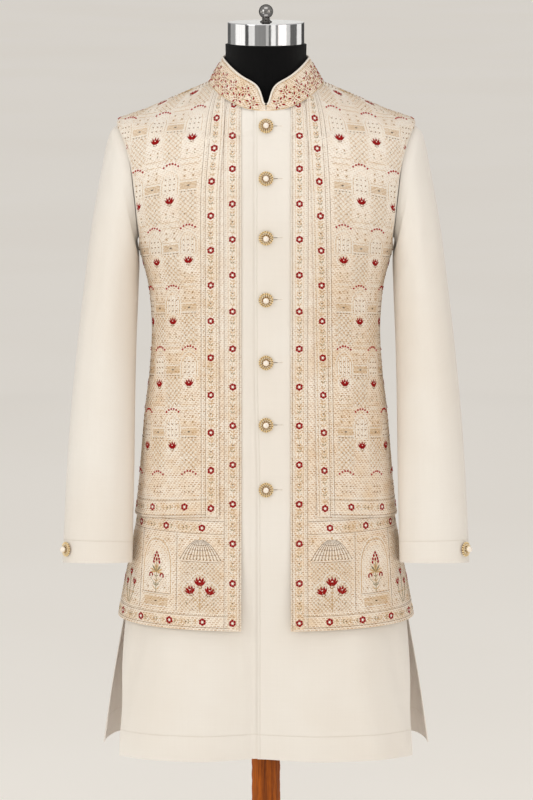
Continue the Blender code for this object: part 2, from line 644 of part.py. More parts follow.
def cuff_button_place(side):
    """The point and outward direction of a cuff button, on the flat facet it is sewn to."""
    above, below = SLEEVE[-2], SLEEVE[-1]
    share = (CUFF_BUTTON_Z - below.out_z) / (above.out_z - below.out_z)
    step = 360 / SLEEVE_FACETS
    first = math.floor(CUFF_BUTTON_ANGLE / step) * step

    def at(turn, t):
        return sleeve_ring_point(below, turn, side).lerp(sleeve_ring_point(above, turn, side), t)

    point = (at(first, share) + at(first + step, share)) / 2
    outward = (at(first + step, share) - at(first, share)).cross(at(first, 1.0) - at(first, 0.0)).normalized()
    if outward.y > 0:
        outward.negate()
    return point, outward


def make_form(black, chrome):
    """The dress form's trunk and neck, its neck cap and the cap's finial."""
    outline_rows = [row.z for row in FORM]
    points, faces = [], []
    for z in outline_rows:
        at = {name: column(z) for name, column in FORM_AT.items()}
        exponent = 2 / at["power"]
        for j in range(FORM_FACETS):
            turn = 2 * math.pi * j / FORM_FACETS
            s, c = math.sin(turn), math.cos(turn)
            depth = at["front"] if c > 0 else at["back"]
            drop = at["front_drop"] * c * c if c > 0 else 0.0
            points.append((at["half_width"] * signed_power(s, exponent),
                           -depth * signed_power(c, exponent), z - drop))
    for i in range(len(outline_rows) - 1):
        for j in range(FORM_FACETS):
            k = (j + 1) % FORM_FACETS
            faces.append((i * FORM_FACETS + j, i * FORM_FACETS + k,
                          (i + 1) * FORM_FACETS + k, (i + 1) * FORM_FACETS + j))
    faces.append(tuple(reversed(range(FORM_FACETS))))
    faces.append(tuple(range((len(outline_rows) - 1) * FORM_FACETS, len(outline_rows) * FORM_FACETS)))
    new_object("form_trunk", points, faces, black)
    bottom, top = CAP_Z
    cap = turned("neck_cap", [(CAP_RADIUS - CAP_BEVEL, bottom), (CAP_RADIUS, bottom + CAP_BEVEL),
                              (CAP_RADIUS, top - CAP_BEVEL), (CAP_RADIUS - CAP_BEVEL, top)], 36, chrome)
    cap.matrix_world = Matrix.Translation((0, NECK_MID_Y, 0))
    rows = 9
    ball = [(FINIAL_BALL_RADIUS * math.sin(math.pi * i / rows),
             FINIAL_BALL_Z - FINIAL_BALL_RADIUS * math.cos(math.pi * i / rows)) for i in range(1, rows)]
    finial = turned("finial", FINIAL_OUTLINE + ball, FINIAL_FACETS, chrome)
    finial.matrix_world = Matrix.Translation((0, NECK_MID_Y, top))


def make_stand(wood):
    """The post that carries the form, and its round base."""
    bottom, top = POST_Z
    turned("post", [(POST_RADIUS, bottom), (POST_RADIUS, top)], POST_FACETS, wood)
    turned("base", BASE_OUTLINE, BASE_FACETS, wood)


def main():
    for obj in list(bpy.data.objects):
        bpy.data.objects.remove(obj)
    ivory = make_material("ivory_cloth", IVORY, 0.85)
    embroidered = make_material("embroidered_cloth", EMBROIDERED, 0.75)
    gilt = make_material("gilt", GILT, 0.35, 1.0)
    pearl = make_material("pearl", PEARL, 0.25)
    black = make_material("black_jersey", BLACK, 0.9)
    chrome = make_material("chrome", CHROME, 0.08, 1.0)
    wood = make_material("carved_wood", WOOD, 0.5)
    make_kurta(ivory)
    make_jacket(embroidered)
    make_collar(embroidered, ivory)
    make_buttons(gilt, pearl)
    make_form(black, chrome)
    make_stand(wood)


main()
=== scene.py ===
"""The looks of a nehru jacket set for a man, worn by a limbless dress form on a wooden stand.

An ivory long kurta with a buttoned placket, an embroidered band collar, and an open embroidered
jacket in two lengths, the short layer lying on the long one. Metres, +Z up, the floor at z = 0, the
wearer facing -Y, so +X is the wearer's left. Distances on the cloth are metres along it.
"""

import logging
import math
from collections.abc import Callable, Sequence
from dataclasses import dataclass, field
from enum import Enum

import bpy
import numpy as np
from mathutils import Matrix, Vector


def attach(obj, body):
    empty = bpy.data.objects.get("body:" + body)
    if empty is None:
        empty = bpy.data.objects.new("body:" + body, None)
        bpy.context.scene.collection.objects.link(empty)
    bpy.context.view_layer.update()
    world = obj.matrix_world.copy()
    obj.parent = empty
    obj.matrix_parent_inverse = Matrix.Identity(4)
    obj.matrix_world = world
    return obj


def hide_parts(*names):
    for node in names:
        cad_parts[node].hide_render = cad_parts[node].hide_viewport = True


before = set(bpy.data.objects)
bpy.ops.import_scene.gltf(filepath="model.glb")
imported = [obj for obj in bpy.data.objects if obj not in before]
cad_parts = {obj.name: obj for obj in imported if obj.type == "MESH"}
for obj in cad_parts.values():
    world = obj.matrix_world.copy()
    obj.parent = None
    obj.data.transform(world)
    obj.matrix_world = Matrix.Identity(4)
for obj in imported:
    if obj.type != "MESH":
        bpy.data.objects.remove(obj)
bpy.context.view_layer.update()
LOG = logging.getLogger("jacket_set")

Array = np.ndarray
Socket = bpy.types.NodeSocket
Node = bpy.types.Node
Object = bpy.types.Object
Material = bpy.types.Material
Pairs = Sequence[tuple[float, float]]

MM = 0.001
ROOT = "root"
CLOTH_MAP = "metres"  # the name of the coordinates that give metres along a piece's cloth


# Numbers along curves


def unit(vectors: Array) -> Array:
    """Vectors of length one."""
    return vectors / np.maximum(np.linalg.norm(vectors, axis=-1, keepdims=True), 1e-12)


def smooth_step(value: Array | float, low: float, high: float) -> Array:
    """A soft step from 0 at low to 1 at high."""
    t = np.clip((np.asarray(value, float) - low) / (high - low), 0.0, 1.0)
    return t * t * (3 - 2 * t)


def circle(sides: int) -> Array:
    """Even turns round a circle, in radians."""
    return np.arange(sides) * 2 * math.pi / sides


def spread(*tables: Array | float) -> Array:
    """Tables stretched to one shape and paired on a new last axis."""
    return np.stack(np.broadcast_arrays(*tables), -1)


class Profile:
    """A smooth curve through (x, y) pairs, x rising, that never overshoots them, level past both ends."""

    def __init__(self, pairs: Pairs) -> None:
        """Works out the slope at each pair.

        Args:
            pairs: places and their values, in order.
        """
        self.x, self.y = np.array(pairs, float).T
        steps = np.diff(self.y) / np.diff(self.x)
        self.slopes = np.concatenate([[steps[0]], np.zeros(len(self.x) - 2), [steps[-1]]])
        for i in range(1, len(self.x) - 1):
            if steps[i - 1] * steps[i] > 0:
                before, after = self.x[i] - self.x[i - 1], self.x[i + 1] - self.x[i]
                first, second = 2 * after + before, after + 2 * before
                self.slopes[i] = (first + second) / (first / steps[i - 1] + second / steps[i])

    def __call__(self, at: Array | float) -> Array:
        """The curve's height at one x or at an array of them.

        Args:
            at: the places.

        Returns:
            The values there.
        """
        at = np.clip(np.asarray(at, float), self.x[0], self.x[-1])
        i = np.clip(np.searchsorted(self.x, at, side="right") - 1, 0, len(self.x) - 2)
        width = self.x[i + 1] - self.x[i]
        t, rise = (at - self.x[i]) / width, self.y[i + 1] - self.y[i]
        lead, trail = width * self.slopes[i] - rise, rise - width * self.slopes[i + 1]
        return self.y[i] + t * rise + t * (1 - t) * (lead * (1 - t) + trail * t)


def lengths_along(points: Array) -> Array:
    """Distance along each row of points from its first one."""
    steps = np.linalg.norm(np.diff(points, axis=-2), axis=-1)
    return np.concatenate([np.zeros(steps.shape[:-1] + (1,)), np.cumsum(steps, axis=-1)], axis=-1)


def lengths_up(points: Array) -> Array:
    """Distance up each column of a grid of points from its lowest row."""
    return lengths_along(points.transpose(1, 0, 2)).T


def headings(line: Array, first: Array | Sequence = (0,), last: Array | Sequence = (-1,)) -> Array:
    """From the point before to the point after each point.

    Args:
        line: (n, 3) or (n, 2) points.
        first: the numbers of those that have none before them.
        last: the numbers of those that have none after them.

    Returns:
        The directions, of any length.
    """
    ahead, behind = np.roll(line, -1, 0), np.roll(line, 1, 0)
    first, last = list(first), list(last)
    ahead[last], behind[first] = line[last], line[first]
    return ahead - behind


# Mesh making


def place(data: bpy.types.ID, name: str) -> Object:
    """Puts a mesh, a light or a camera in the scene."""
    obj = bpy.data.objects.new(name, data)
    bpy.context.scene.collection.objects.link(obj)
    return obj


def ball(radius: float, middle: float, angles: Sequence[float]) -> list[tuple[float, float]]:
    """The (radius, height) points of a ball, at angles from its foot."""
    return [(radius * math.sin(a), middle - radius * math.cos(a)) for a in angles]


class MeshMaker:
    """Gathers points and faces, then makes one mesh object of them."""

    def __init__(self) -> None:
        """Starts empty."""
        self.points: list[Array] = []
        self.marks: list[Array] = []
        self.faces: list[tuple[Array, Array]] = []
        self.count = 0

    def add(self, points: Array, faces: Sequence[Array], slot: int | Array = 0,
            marks: Array | None = None) -> None:
        """Adds a patch.

        Args:
            points: (n, 3) places.
            faces: blocks of (k, 3) or (k, 4) point numbers, counted from the patch's own first point.
            slot: the material's number, one for the patch or one a face.
            marks: (n, 2) metres along the surface, for the finish.
        """
        points = np.asarray(points, float).reshape(-1, 3)
        for block in faces:
            if len(block):
                self.faces.append((np.asarray(block, int) + self.count, np.broadcast_to(slot, len(block))))
        self.points.append(points)
        self.marks.append(np.zeros((len(points), 2)) if marks is None else marks.reshape(-1, 2))
        self.count += len(points)

    def mesh(self, name: str, materials: Sequence[Material], sharp: float | None = None) -> bpy.types.Mesh:
        """Makes the mesh.

        Args:
            name: the piece's name.
            materials: its materials, in the order of their numbers.
            sharp: the angle in degrees above which an edge stays crisp; all edges are smooth without it.

        Returns:
            The mesh.
        """
        mesh = bpy.data.meshes.new(name)
        points, marks = np.concatenate(self.points), np.concatenate(self.marks)
        loops = np.concatenate([block.ravel() for block, _ in self.faces]).astype(np.int32)
        sizes = np.concatenate([np.full(len(block), block.shape[1]) for block, _ in self.faces])
        slots = np.concatenate([slots for _, slots in self.faces])
        mesh.vertices.add(len(points))
        mesh.loops.add(len(loops))
        mesh.polygons.add(len(sizes))
        mesh.vertices.foreach_set("co", points.astype(np.float32).ravel())
        mesh.loops.foreach_set("vertex_index", loops)
        mesh.polygons.foreach_set("loop_start", (np.cumsum(sizes) - sizes).astype(np.int32))
        mesh.polygons.foreach_set("material_index", slots.astype(np.int32))
        mesh.uv_layers.new(name=CLOTH_MAP).data.foreach_set("uv", marks[loops].astype(np.float32).ravel())
        mesh.update(calc_edges=True)
        mesh.validate()
        mesh.shade_smooth()
        if sharp is not None:
            mesh.set_sharp_from_angle(angle=math.radians(sharp))
        for material in materials:
            mesh.materials.append(material)
        return mesh

    def build(self, name: str, materials: Sequence[Material], sharp: float | None = None) -> Object:
        """Makes the mesh and puts it in the scene."""
        return place(self.mesh(name, materials, sharp), name)


def grid_faces(rows: int, columns: int, ring: bool = False, flip: bool = False, start: int = 0) -> Array:
    """The quads of a grid of points.

    Args:
        rows: how many rows, lowest first.
        columns: how many points a row has.
        ring: joins the last column to the first.
        flip: turns the faces round.
        start: the grid's first point.

    Returns:
        (k, 4) point numbers.
    """
    i, j = np.meshgrid(np.arange(rows - 1), np.arange(columns if ring else columns - 1), indexing="ij")
    low, high = i * columns + j, i * columns + (j + 1) % columns
    quads = spread(low, high, high + columns, low + columns).reshape(-1, 4) + start
    return quads[:, ::-1] if flip else quads


def add_shell(maker: MeshMaker, outer: Array, inner: Array, marks: Array, ring: bool = False) -> None:
    """Adds a closed wall between two grids of points, such as a panel of cloth.

    Args:
        maker: where it goes.
        outer: (rows, columns, 3) of its outside, columns running to the wearer's left, rows upwards.
        inner: the same of its inside.
        marks: (rows, columns, 2) metres along the cloth.
        ring: joins the last column to the first.
    """
    rows, columns = outer.shape[:2]
    size, top = rows * columns, (rows - 1) * columns
    low = np.arange(columns if ring else columns - 1)
    high = (low + 1) % columns
    faces = [grid_faces(rows, columns, ring), grid_faces(rows, columns, ring, flip=True, start=size),
             spread(low, low + size, high + size, high),
             spread(top + low, top + high, top + high + size, top + low + size)]
    if not ring:
        up = np.arange(rows - 1) * columns
        last = up + columns - 1
        faces += [spread(up, up + columns, up + columns + size, up + size),
                  spread(last, last + size, last + columns + size, last + columns)]
    maker.add(np.concatenate([outer, inner]), faces, 0, np.concatenate([marks, marks]))


def add_rings(maker: MeshMaker, rings: Array, ends: Array, slot: int = 0, marks: Array | None = None) -> None:
    """Adds a closed skin over rings of points, with a middle point on each end.

    Args:
        maker: where it goes.
        rings: (rows, sides, 3) places.
        ends: (2, 3) the middle points of the first and the last ring.
        slot: the material's number.
        marks: (rows, sides, 2) metres along it.
    """
    rows, sides = rings.shape[:2]
    j = np.arange(sides)
    k, last, size = (j + 1) % sides, (rows - 1) * sides, rows * sides
    faces = [grid_faces(rows, sides, ring=True), spread(k, j, size), spread(last + j, last + k, size + 1)]
    if marks is not None:
        marks = np.concatenate([marks.reshape(-1, 2), marks[0, :1], marks[-1, :1]])
    maker.add(np.concatenate([rings.reshape(-1, 3), ends]), faces, slot, marks)


def add_turned(maker: MeshMaker, outline: Pairs, facets: int, slot: int = 0, at: Matrix | None = None,
               shape: Callable[[Array, Array], Array] | None = None) -> None:
    """Adds a closed solid turned about Z.

    Args:
        maker: where it goes.
        outline: (radius, height) points, lowest first.
        facets: how many sides it has.
        slot: the material's number.
        at: where it is put.
        shape: what the radius is multiplied by, from the (row, 1) heights and the turns in radians.
    """
    radius, height = np.array(outline, float).T[..., None]
    turn = circle(facets)
    reach = radius if shape is None else radius * shape(height, turn)
    rings = spread(reach * np.cos(turn), reach * np.sin(turn), height)
    marks = spread(turn * radius.max(), lengths_along(np.concatenate([radius, height], 1))[:, None])
    ends = np.array([[0, 0, height[0, 0]], [0, 0, height[-1, 0]]])
    if at is not None:
        turned, shift = np.array(at.to_3x3()).T, np.array(at.translation)
        rings, ends = rings @ turned + shift, ends @ turned + shift
    add_rings(maker, rings, ends, slot, marks)


def add_tube(maker: MeshMaker, line: Array, radius: float | Array, sides: int, outward: Array,
             closed: bool = False) -> None:
    """Adds a round cord along a line.

    Args:
        maker: where it goes.
        line: (n, 3) points.
        radius: its radius, one or one a point.
        sides: how many sides it has.
        outward: (n, 3) directions for the section's first side.
        closed: joins its last point to its first, where it would have two closed ends.
    """
    along = unit(headings(line, (), ()) if closed else headings(line))
    out = unit(outward - along * (outward * along).sum(-1, keepdims=True))
    turn = circle(sides)
    section = out[:, None] * np.cos(turn)[:, None] + np.cross(along, out)[:, None] * np.sin(turn)[:, None]
    rings = line[:, None] + section * np.broadcast_to(radius, len(line))[:, None, None]
    marks = spread(lengths_along(line)[:, None], turn * np.max(radius))
    if closed:
        maker.add(rings, [grid_faces(len(line) + 1, sides, ring=True) % (len(line) * sides)], 0, marks)
    else:
        add_rings(maker, rings, line[[0, -1]], 0, marks)


def dress(piece: Object, slot: str, *nodes: str) -> Object:
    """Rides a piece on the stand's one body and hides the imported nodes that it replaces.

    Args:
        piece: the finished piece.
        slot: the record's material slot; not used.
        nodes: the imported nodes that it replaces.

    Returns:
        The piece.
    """
    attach(piece, ROOT)
    if nodes:
        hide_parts(*nodes)
    LOG.info("%s: %d points, %d faces", piece.name, len(piece.data.vertices), len(piece.data.polygons))
    return piece


def turned_piece(name: str, finish: Material, sharp: float, slot: str, node: str, outline: Pairs, facets: int,
                 at: Matrix | None = None, shape: Callable[[Array, Array], Array] | None = None) -> Object:
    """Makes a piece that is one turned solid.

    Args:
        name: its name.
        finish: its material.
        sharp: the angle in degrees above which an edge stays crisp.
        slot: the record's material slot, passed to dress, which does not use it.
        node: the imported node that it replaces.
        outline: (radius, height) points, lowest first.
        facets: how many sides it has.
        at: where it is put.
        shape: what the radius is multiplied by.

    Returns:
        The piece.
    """
    maker = MeshMaker()
    add_turned(maker, outline, facets, 0, at, shape)
    return dress(maker.build(name, [finish], sharp), slot, node)


# The surface that all the cloth follows


class Layer(Enum):
    """A layer of cloth on the body, from the inside out."""

    KURTA = "kurta"
    LONG = "long"
    SHORT = "short"


@dataclass(frozen=True)
class Wall:
    """How far a layer's two faces stand outside the kurta's surface."""

    inner: float
    outer: float


WALLS = {Layer.KURTA: Wall(-0.0012, 0.0), Layer.LONG: Wall(0.0012, 0.0025), Layer.SHORT: Wall(0.0038, 0.0054)}
UNDERLAP_SINK = 0.0022  # how far the wearer's right front sinks in to pass under the left one
NECK_PRESS = 0.75  # the layers are pressed to this share of their depth at the neck seam
SEAM_GAP = 0.0004

KURTA_HEM_Z = 0.476
SLIT_TOP_Z = 0.800
LONG_HEM_Z = 0.685
SHORT_HEM_Z = 0.848
SHORT_HEM_RISE = 0.016
SHOULDER_Z = 1.461
NECK_Z = 1.526

PLACKET_START = -0.012  # where metres across the left front are counted from
PLACKET_EDGE = Profile([(0.476, -0.0132), (0.900, -0.0136), (1.100, -0.0176), (1.530, -0.0180)])
UNDERLAP_X = 0.020
SINK_X = (-0.036, -0.0195)
LONG_EDGE_X = 0.038

# Ring height, the front's and the back's half width, their depths, the drop of the ring at centre
# front and its rise at centre back, and its squareness.
BODY_RINGS = [
    (0.476, 0.270, 0.2580, 0.145, 0.150, 0.000, 0.000, 2.4),
    (0.564, 0.248, 0.2455, 0.142, 0.147, 0.000, 0.000, 2.4),
    (0.628, 0.234, 0.2345, 0.140, 0.143, 0.000, 0.000, 2.4),
    (0.685, 0.2235, 0.224, 0.138, 0.138, 0.000, 0.000, 2.35),
    (0.745, 0.214, 0.2140, 0.134, 0.133, 0.000, 0.000, 2.3),
    (0.800, 0.206, 0.2060, 0.130, 0.128, 0.000, 0.000, 2.3),
    (0.860, 0.198, 0.1980, 0.126, 0.124, 0.000, 0.000, 2.3),
    (0.940, 0.191, 0.1910, 0.119, 0.120, 0.000, 0.000, 2.3),
    (1.013, 0.1845, 0.1845, 0.112, 0.110, 0.000, 0.000, 2.3),
    (1.075, 0.1768, 0.1768, 0.107, 0.099, 0.000, 0.000, 2.3),
    (1.140, 0.1730, 0.1730, 0.105, 0.092, 0.000, 0.000, 2.3),
    (1.200, 0.1768, 0.1768, 0.108, 0.093, 0.000, 0.000, 2.35),
    (1.245, 0.1862, 0.1862, 0.112, 0.099, 0.000, 0.000, 2.45),
    (1.285, 0.1990, 0.1990, 0.1155, 0.106, 0.000, 0.000, 2.5),
    (1.327, 0.2155, 0.2155, 0.118, 0.111, 0.000, 0.000, 2.6),
    (1.373, 0.2260, 0.2260, 0.1175, 0.113, 0.002, 0.000, 2.6),
    (1.420, 0.2290, 0.2290, 0.112, 0.112, 0.010, 0.000, 2.4),
    (1.461, 0.2280, 0.2280, 0.102, 0.104, 0.022, 0.000, 2.1),
    (1.480, 0.1840, 0.1840, 0.098, 0.096, 0.030, 0.000, 2.0),
    (1.499, 0.1410, 0.1410, 0.0955, 0.086, 0.036, 0.003, 2.0),
    (1.517, 0.0995, 0.0995, 0.092, 0.075, 0.0385, 0.006, 2.0),
    (1.526, 0.0770, 0.0770, 0.0885, 0.064, 0.0365, 0.008, 2.0),
]
FRONT_SLIT = Profile([(0.476, 55.7), (0.564, 64.7), (0.628, 73.1), (0.685, 80.8), (0.800, 90.0)])
JACKET_FLARE = Profile([(0.685, 0.0075), (0.745, 0.0055), (0.800, 0.0025), (0.870, 0.0), (1.600, 0.0)])
SHORT_FLARE = Profile([(0.830, 0.0020), (0.930, 0.0), (1.600, 0.0)])
SHORT_EDGE_RIGHT = Profile([(0.848, 0.0725), (1.350, 0.0715), (1.450, 0.066), (1.530, 0.0620)])
SHORT_EDGE_LEFT = Profile([(0.848, 0.0790), (1.100, 0.0745), (1.350, 0.0700), (1.530, 0.0610)])


@dataclass(frozen=True)
class Armhole:
    """An armhole's outline on the body: its tip, its underarm and how far round it reaches."""

    tip: float
    underarm: float
    spread: float

    def half_angle(self, z: Array | float) -> Array:
        """How far its edge is from the side of the body at a ring, in degrees."""
        height = (np.asarray(z, float) - (self.tip + self.underarm) / 2) / ((self.tip - self.underarm) / 2)
        return self.spread * np.sqrt(np.clip(1 - height * height, 0.0, 1.0))


KURTA_ARMHOLE = Armhole(1.461, 1.285, 28.0)
JACKET_ARMHOLE = Armhole(1.4625, 1.270, 31.0)


@dataclass(frozen=True)
class Crease:
    """A soft hollow or swell along a straight run, given as metres round from the front and ring heights."""

    start: tuple[float, float]
    end: tuple[float, float]
    width: float
    depth: float

    def at(self, around: Array, z: Array) -> Array:
        """Its depth at places on the cloth.

        Args:
            around: metres round the body from centre front, to the wearer's left.
            z: ring heights.

        Returns:
            How far the cloth goes outwards there.
        """
        (a, b), (c, d) = self.start, self.end
        length = math.hypot(c - a, d - b)
        run = ((around - a) * (c - a) + (z - b) * (d - b)) / length
        off = ((around - a) * (d - b) - (z - b) * (c - a)) / length
        first = smooth_step(run, -0.25 * length, 0.3 * length)
        last = smooth_step(-run, -1.25 * length, -0.7 * length)
        return self.depth * np.exp(-((off / self.width) ** 2)) * (first * last)


# Creases that every layer shares, and those of the kurta's skirt alone.
BODY_CREASES = [
    Crease((0.130, 1.300), (0.060, 1.215), 0.014, -0.0011),
    Crease((-0.130, 1.296), (-0.064, 1.210), 0.014, -0.0011),
    Crease((0.165, 1.250), (0.110, 1.160), 0.016, -0.0012),
    Crease((-0.165, 1.246), (-0.112, 1.165), 0.016, -0.0012),
    Crease((0.045, 1.150), (0.175, 1.128), 0.015, -0.0008),
    Crease((-0.050, 1.146), (-0.180, 1.120), 0.015, -0.0008),
    Crease((0.020, 1.500), (0.075, 1.452), 0.007, 0.0009),
    Crease((-0.020, 1.500), (-0.078, 1.455), 0.007, 0.0009),
    Crease((0.330, 1.190), (0.440, 1.150), 0.018, -0.0013),
    Crease((-0.330, 1.186), (-0.450, 1.146), 0.018, -0.0013),
    Crease((0.300, 1.330), (0.430, 1.400), 0.020, -0.0012),
    Crease((-0.300, 1.334), (-0.430, 1.404), 0.020, -0.0012),
    Crease((0.110, 1.060), (0.118, 0.880), 0.022, 0.0010),
    Crease((-0.104, 1.050), (-0.116, 0.870), 0.022, 0.0010),
]
SKIRT_CREASES = [
    Crease((0.100, 0.700), (0.118, 0.440), 0.022, 0.0040),
    Crease((0.165, 0.720), (0.196, 0.440), 0.020, -0.0030),
    Crease((-0.108, 0.700), (-0.126, 0.440), 0.024, 0.0036),
    Crease((-0.172, 0.720), (-0.206, 0.440), 0.020, -0.0028),
    Crease((0.040, 0.640), (0.044, 0.440), 0.012, 0.0012),
    Crease((-0.048, 0.640), (-0.056, 0.440), 0.014, 0.0014),
    Crease((0.340, 0.760), (0.350, 0.440), 0.024, 0.0040),
    Crease((0.430, 0.740), (0.440, 0.440), 0.022, -0.0036),
    Crease((0.560, 0.760), (0.566, 0.440), 0.026, 0.0042),
    Crease((-0.346, 0.750), (-0.356, 0.440), 0.024, 0.0038),
    Crease((-0.440, 0.740), (-0.452, 0.440), 0.022, -0.0034),
    Crease((0.505, 0.730), (0.508, 0.440), 0.020, -0.0028),
]
CREASE_RADIUS = 0.175  # turns an angle round the body into metres for the creases
SIDE_RADIUS = 0.19  # the same for the distance to a panel's side edge


BACK_COLUMNS = 82
PANEL_STEP = 0.0075  # the rows' spacing on the body
HEM_BLEND = 0.30  # how far up a hem's rise at front and back dies away


def turned_from_front(angle: Array) -> Array:
    """Degrees round from centre front, negative on the wearer's right."""
    return np.where(angle > 180, angle - 360, angle)


class BodySurface:
    """The kurta's outside. A place on it has a ring height and an angle: 0 at centre front, 90 at the
    wearer's left, 180 at centre back."""

    NAMES = ("front_width", "back_width", "front", "back", "front_drop", "back_rise", "power")
    HOLLOW_REACH = 0.070
    HOLLOW_DEPTH = (0.033, 0.019)  # the skirt's hollow beside the placket, right and left

    def __init__(self) -> None:
        """Makes the smooth tables."""
        self.at = {name: Profile([(row[0], row[k]) for row in BODY_RINGS])
                   for k, name in enumerate(self.NAMES, start=1)}

    def hollow(self, z: Array, x: Array) -> Array:
        """How far the front skirt hangs in beside the placket.

        Args:
            z: ring heights.
            x: distances from centre front to the wearer's left.

        Returns:
            Metres inwards.
        """
        fall = np.clip((SLIT_TOP_Z - z) / (SLIT_TOP_Z - KURTA_HEM_Z), 0.0, None)
        side = 0.5 + 0.5 * np.tanh(x / 0.03)
        depth = self.HOLLOW_DEPTH[0] * (1 - side) + self.HOLLOW_DEPTH[1] * side
        return depth * fall**1.5 * np.exp(-((x / self.HOLLOW_REACH) ** 2))

    def point(self, z: Array, angle: Array, closed: bool) -> Array:
        """Places on the surface.

        Args:
            z: ring heights.
            angle: degrees round the body.
            closed: the front and back meet at the side, as under the jacket.

        Returns:
            (..., 3) places.
        """
        z, angle = np.broadcast_arrays(z, angle)
        front = np.abs(angle) < 90
        s, c = np.sin(np.radians(angle)), np.cos(np.radians(angle))
        exponent = 2 / self.at["power"](z)
        width = np.where(front & (not closed), self.at["front_width"](z), self.at["back_width"](z))
        depth = np.where(front, self.at["front"](z), self.at["back"](z))
        shift = np.where(front, -self.at["front_drop"](z), self.at["back_rise"](z))
        x = width * np.sign(s) * np.abs(s) ** exponent
        y = -depth * np.sign(c) * np.abs(c) ** exponent
        if not closed:
            y = y + np.where(front, self.hollow(z, x), 0.0)
        return np.stack([x, y, z + shift * c * c], -1)

    def normal(self, z: Array, angle: Array, closed: bool) -> Array:
        """The outward directions at places on the surface.

        Args:
            z: ring heights.
            angle: degrees round the body.
            closed: whether the front and back meet at the side.

        Returns:
            Directions of length one.
        """
        up, turn = 0.004, 1.5
        along = self.point(z + up, angle, closed) - self.point(z - up, angle, closed)
        across = self.point(z, angle + turn, closed) - self.point(z, angle - turn, closed)
        return unit(np.cross(across, along))

    def creases(self, z: Array, angle: Array, layer: Layer) -> Array:
        """How far the soft creases move the cloth outwards.

        Args:
            z: ring heights.
            angle: degrees round the body.
            layer: its layer.

        Returns:
            Metres outwards.
        """
        around = np.radians(turned_from_front(angle)) * CREASE_RADIUS
        total = sum(crease.at(around, z) for crease in BODY_CREASES)
        if layer is Layer.KURTA:
            total = total + sum(crease.at(around, z) for crease in SKIRT_CREASES)
        return total

    def on(self, layer: Layer, z: Array, angle: Array, stand_off: Array | float) -> Array:
        """Places on a layer of cloth.

        Args:
            layer: which layer.
            z: ring heights.
            angle: degrees round the body.
            stand_off: how far out from the kurta's surface, before the neck's press and the hems' flare.

        Returns:
            (..., 3) places.
        """
        z, angle = np.broadcast_arrays(z, angle)
        closed = layer is not Layer.KURTA
        if closed:
            press = 1 + (NECK_PRESS - 1) * np.clip((z - SHOULDER_Z) / (NECK_Z - SHOULDER_Z), 0.0, 1.0)
            stand_off = stand_off * press + JACKET_FLARE(z)
        if layer is Layer.SHORT:
            stand_off = stand_off + SHORT_FLARE(z)
        out = stand_off + self.creases(z, angle, layer)
        return self.point(z, angle, closed) + self.normal(z, angle, closed) * out[..., None]

    def angle_at_x(self, z: Array | float, x: Array | float, closed: bool = False) -> Array:
        """The angle at which the front of a ring reaches x."""
        ratio = np.clip(np.abs(x) / self.at["back_width" if closed else "front_width"](z), 0.0, 1.0)
        return np.sign(x) * np.degrees(np.arcsin(ratio ** (self.at["power"](z) / 2)))

    def side_angle(self, layer: Layer, z: Array) -> Array:
        """Where a layer's front ends at the side, in degrees from centre front.

        Args:
            layer: its layer.
            z: ring heights.

        Returns:
            Degrees.
        """
        if layer is Layer.KURTA:
            side = np.where(z < SLIT_TOP_Z, FRONT_SLIT(z), 90 - KURTA_ARMHOLE.half_angle(z))
        else:
            side = 90 - JACKET_ARMHOLE.half_angle(z)
        return side - np.degrees(SEAM_GAP / self.at["back"](z))

    def back_half_angle(self, layer: Layer, z: Array) -> Array:
        """Where a layer's back ends at the side, in degrees from centre back."""
        armhole = KURTA_ARMHOLE if layer is Layer.KURTA else JACKET_ARMHOLE
        return 90 - armhole.half_angle(z) - np.degrees(SEAM_GAP / self.at["back"](z))

    def front_angles(self, layer: Layer, z: Array, edge_x: Array | float, columns: int) -> Array:
        """The angles of a left front's places, from its edge to its side."""
        start, end = self.angle_at_x(z, edge_x, layer is not Layer.KURTA), self.side_angle(layer, z)
        return start[:, None] + (end - start)[:, None] * np.linspace(0, 1, columns)

    def back_angles(self, layer: Layer, z: Array) -> Array:
        """The angles of a back's places, from the wearer's left to the right."""
        return 180 - self.back_half_angle(layer, z)[:, None] * np.linspace(1, -1, BACK_COLUMNS)


def ring_heights(hem: float, armhole: Armhole, step: float = PANEL_STEP) -> Array:
    """The ring heights of a panel's rows: even ones, closer round the armhole's ends and over the shoulder.

    Args:
        hem: the lowest ring.
        armhole: the layer's armhole.
        step: the spacing on the body.

    Returns:
        The heights, lowest first.
    """
    below = np.linspace(hem, armhole.underarm, max(2, round((armhole.underarm - hem) / step)), endpoint=False)
    middle, half = (armhole.tip + armhole.underarm) / 2, (armhole.tip - armhole.underarm) / 2
    beside = middle - half * np.cos(np.linspace(0, math.pi, round(2.2 * half * 1.4 / step)))
    over = np.linspace(armhole.tip, NECK_Z, round((NECK_Z - armhole.tip) / (step * 0.34)) + 1)[1:]
    return np.concatenate([[hem, hem + 0.0025], below[1:], beside, over])


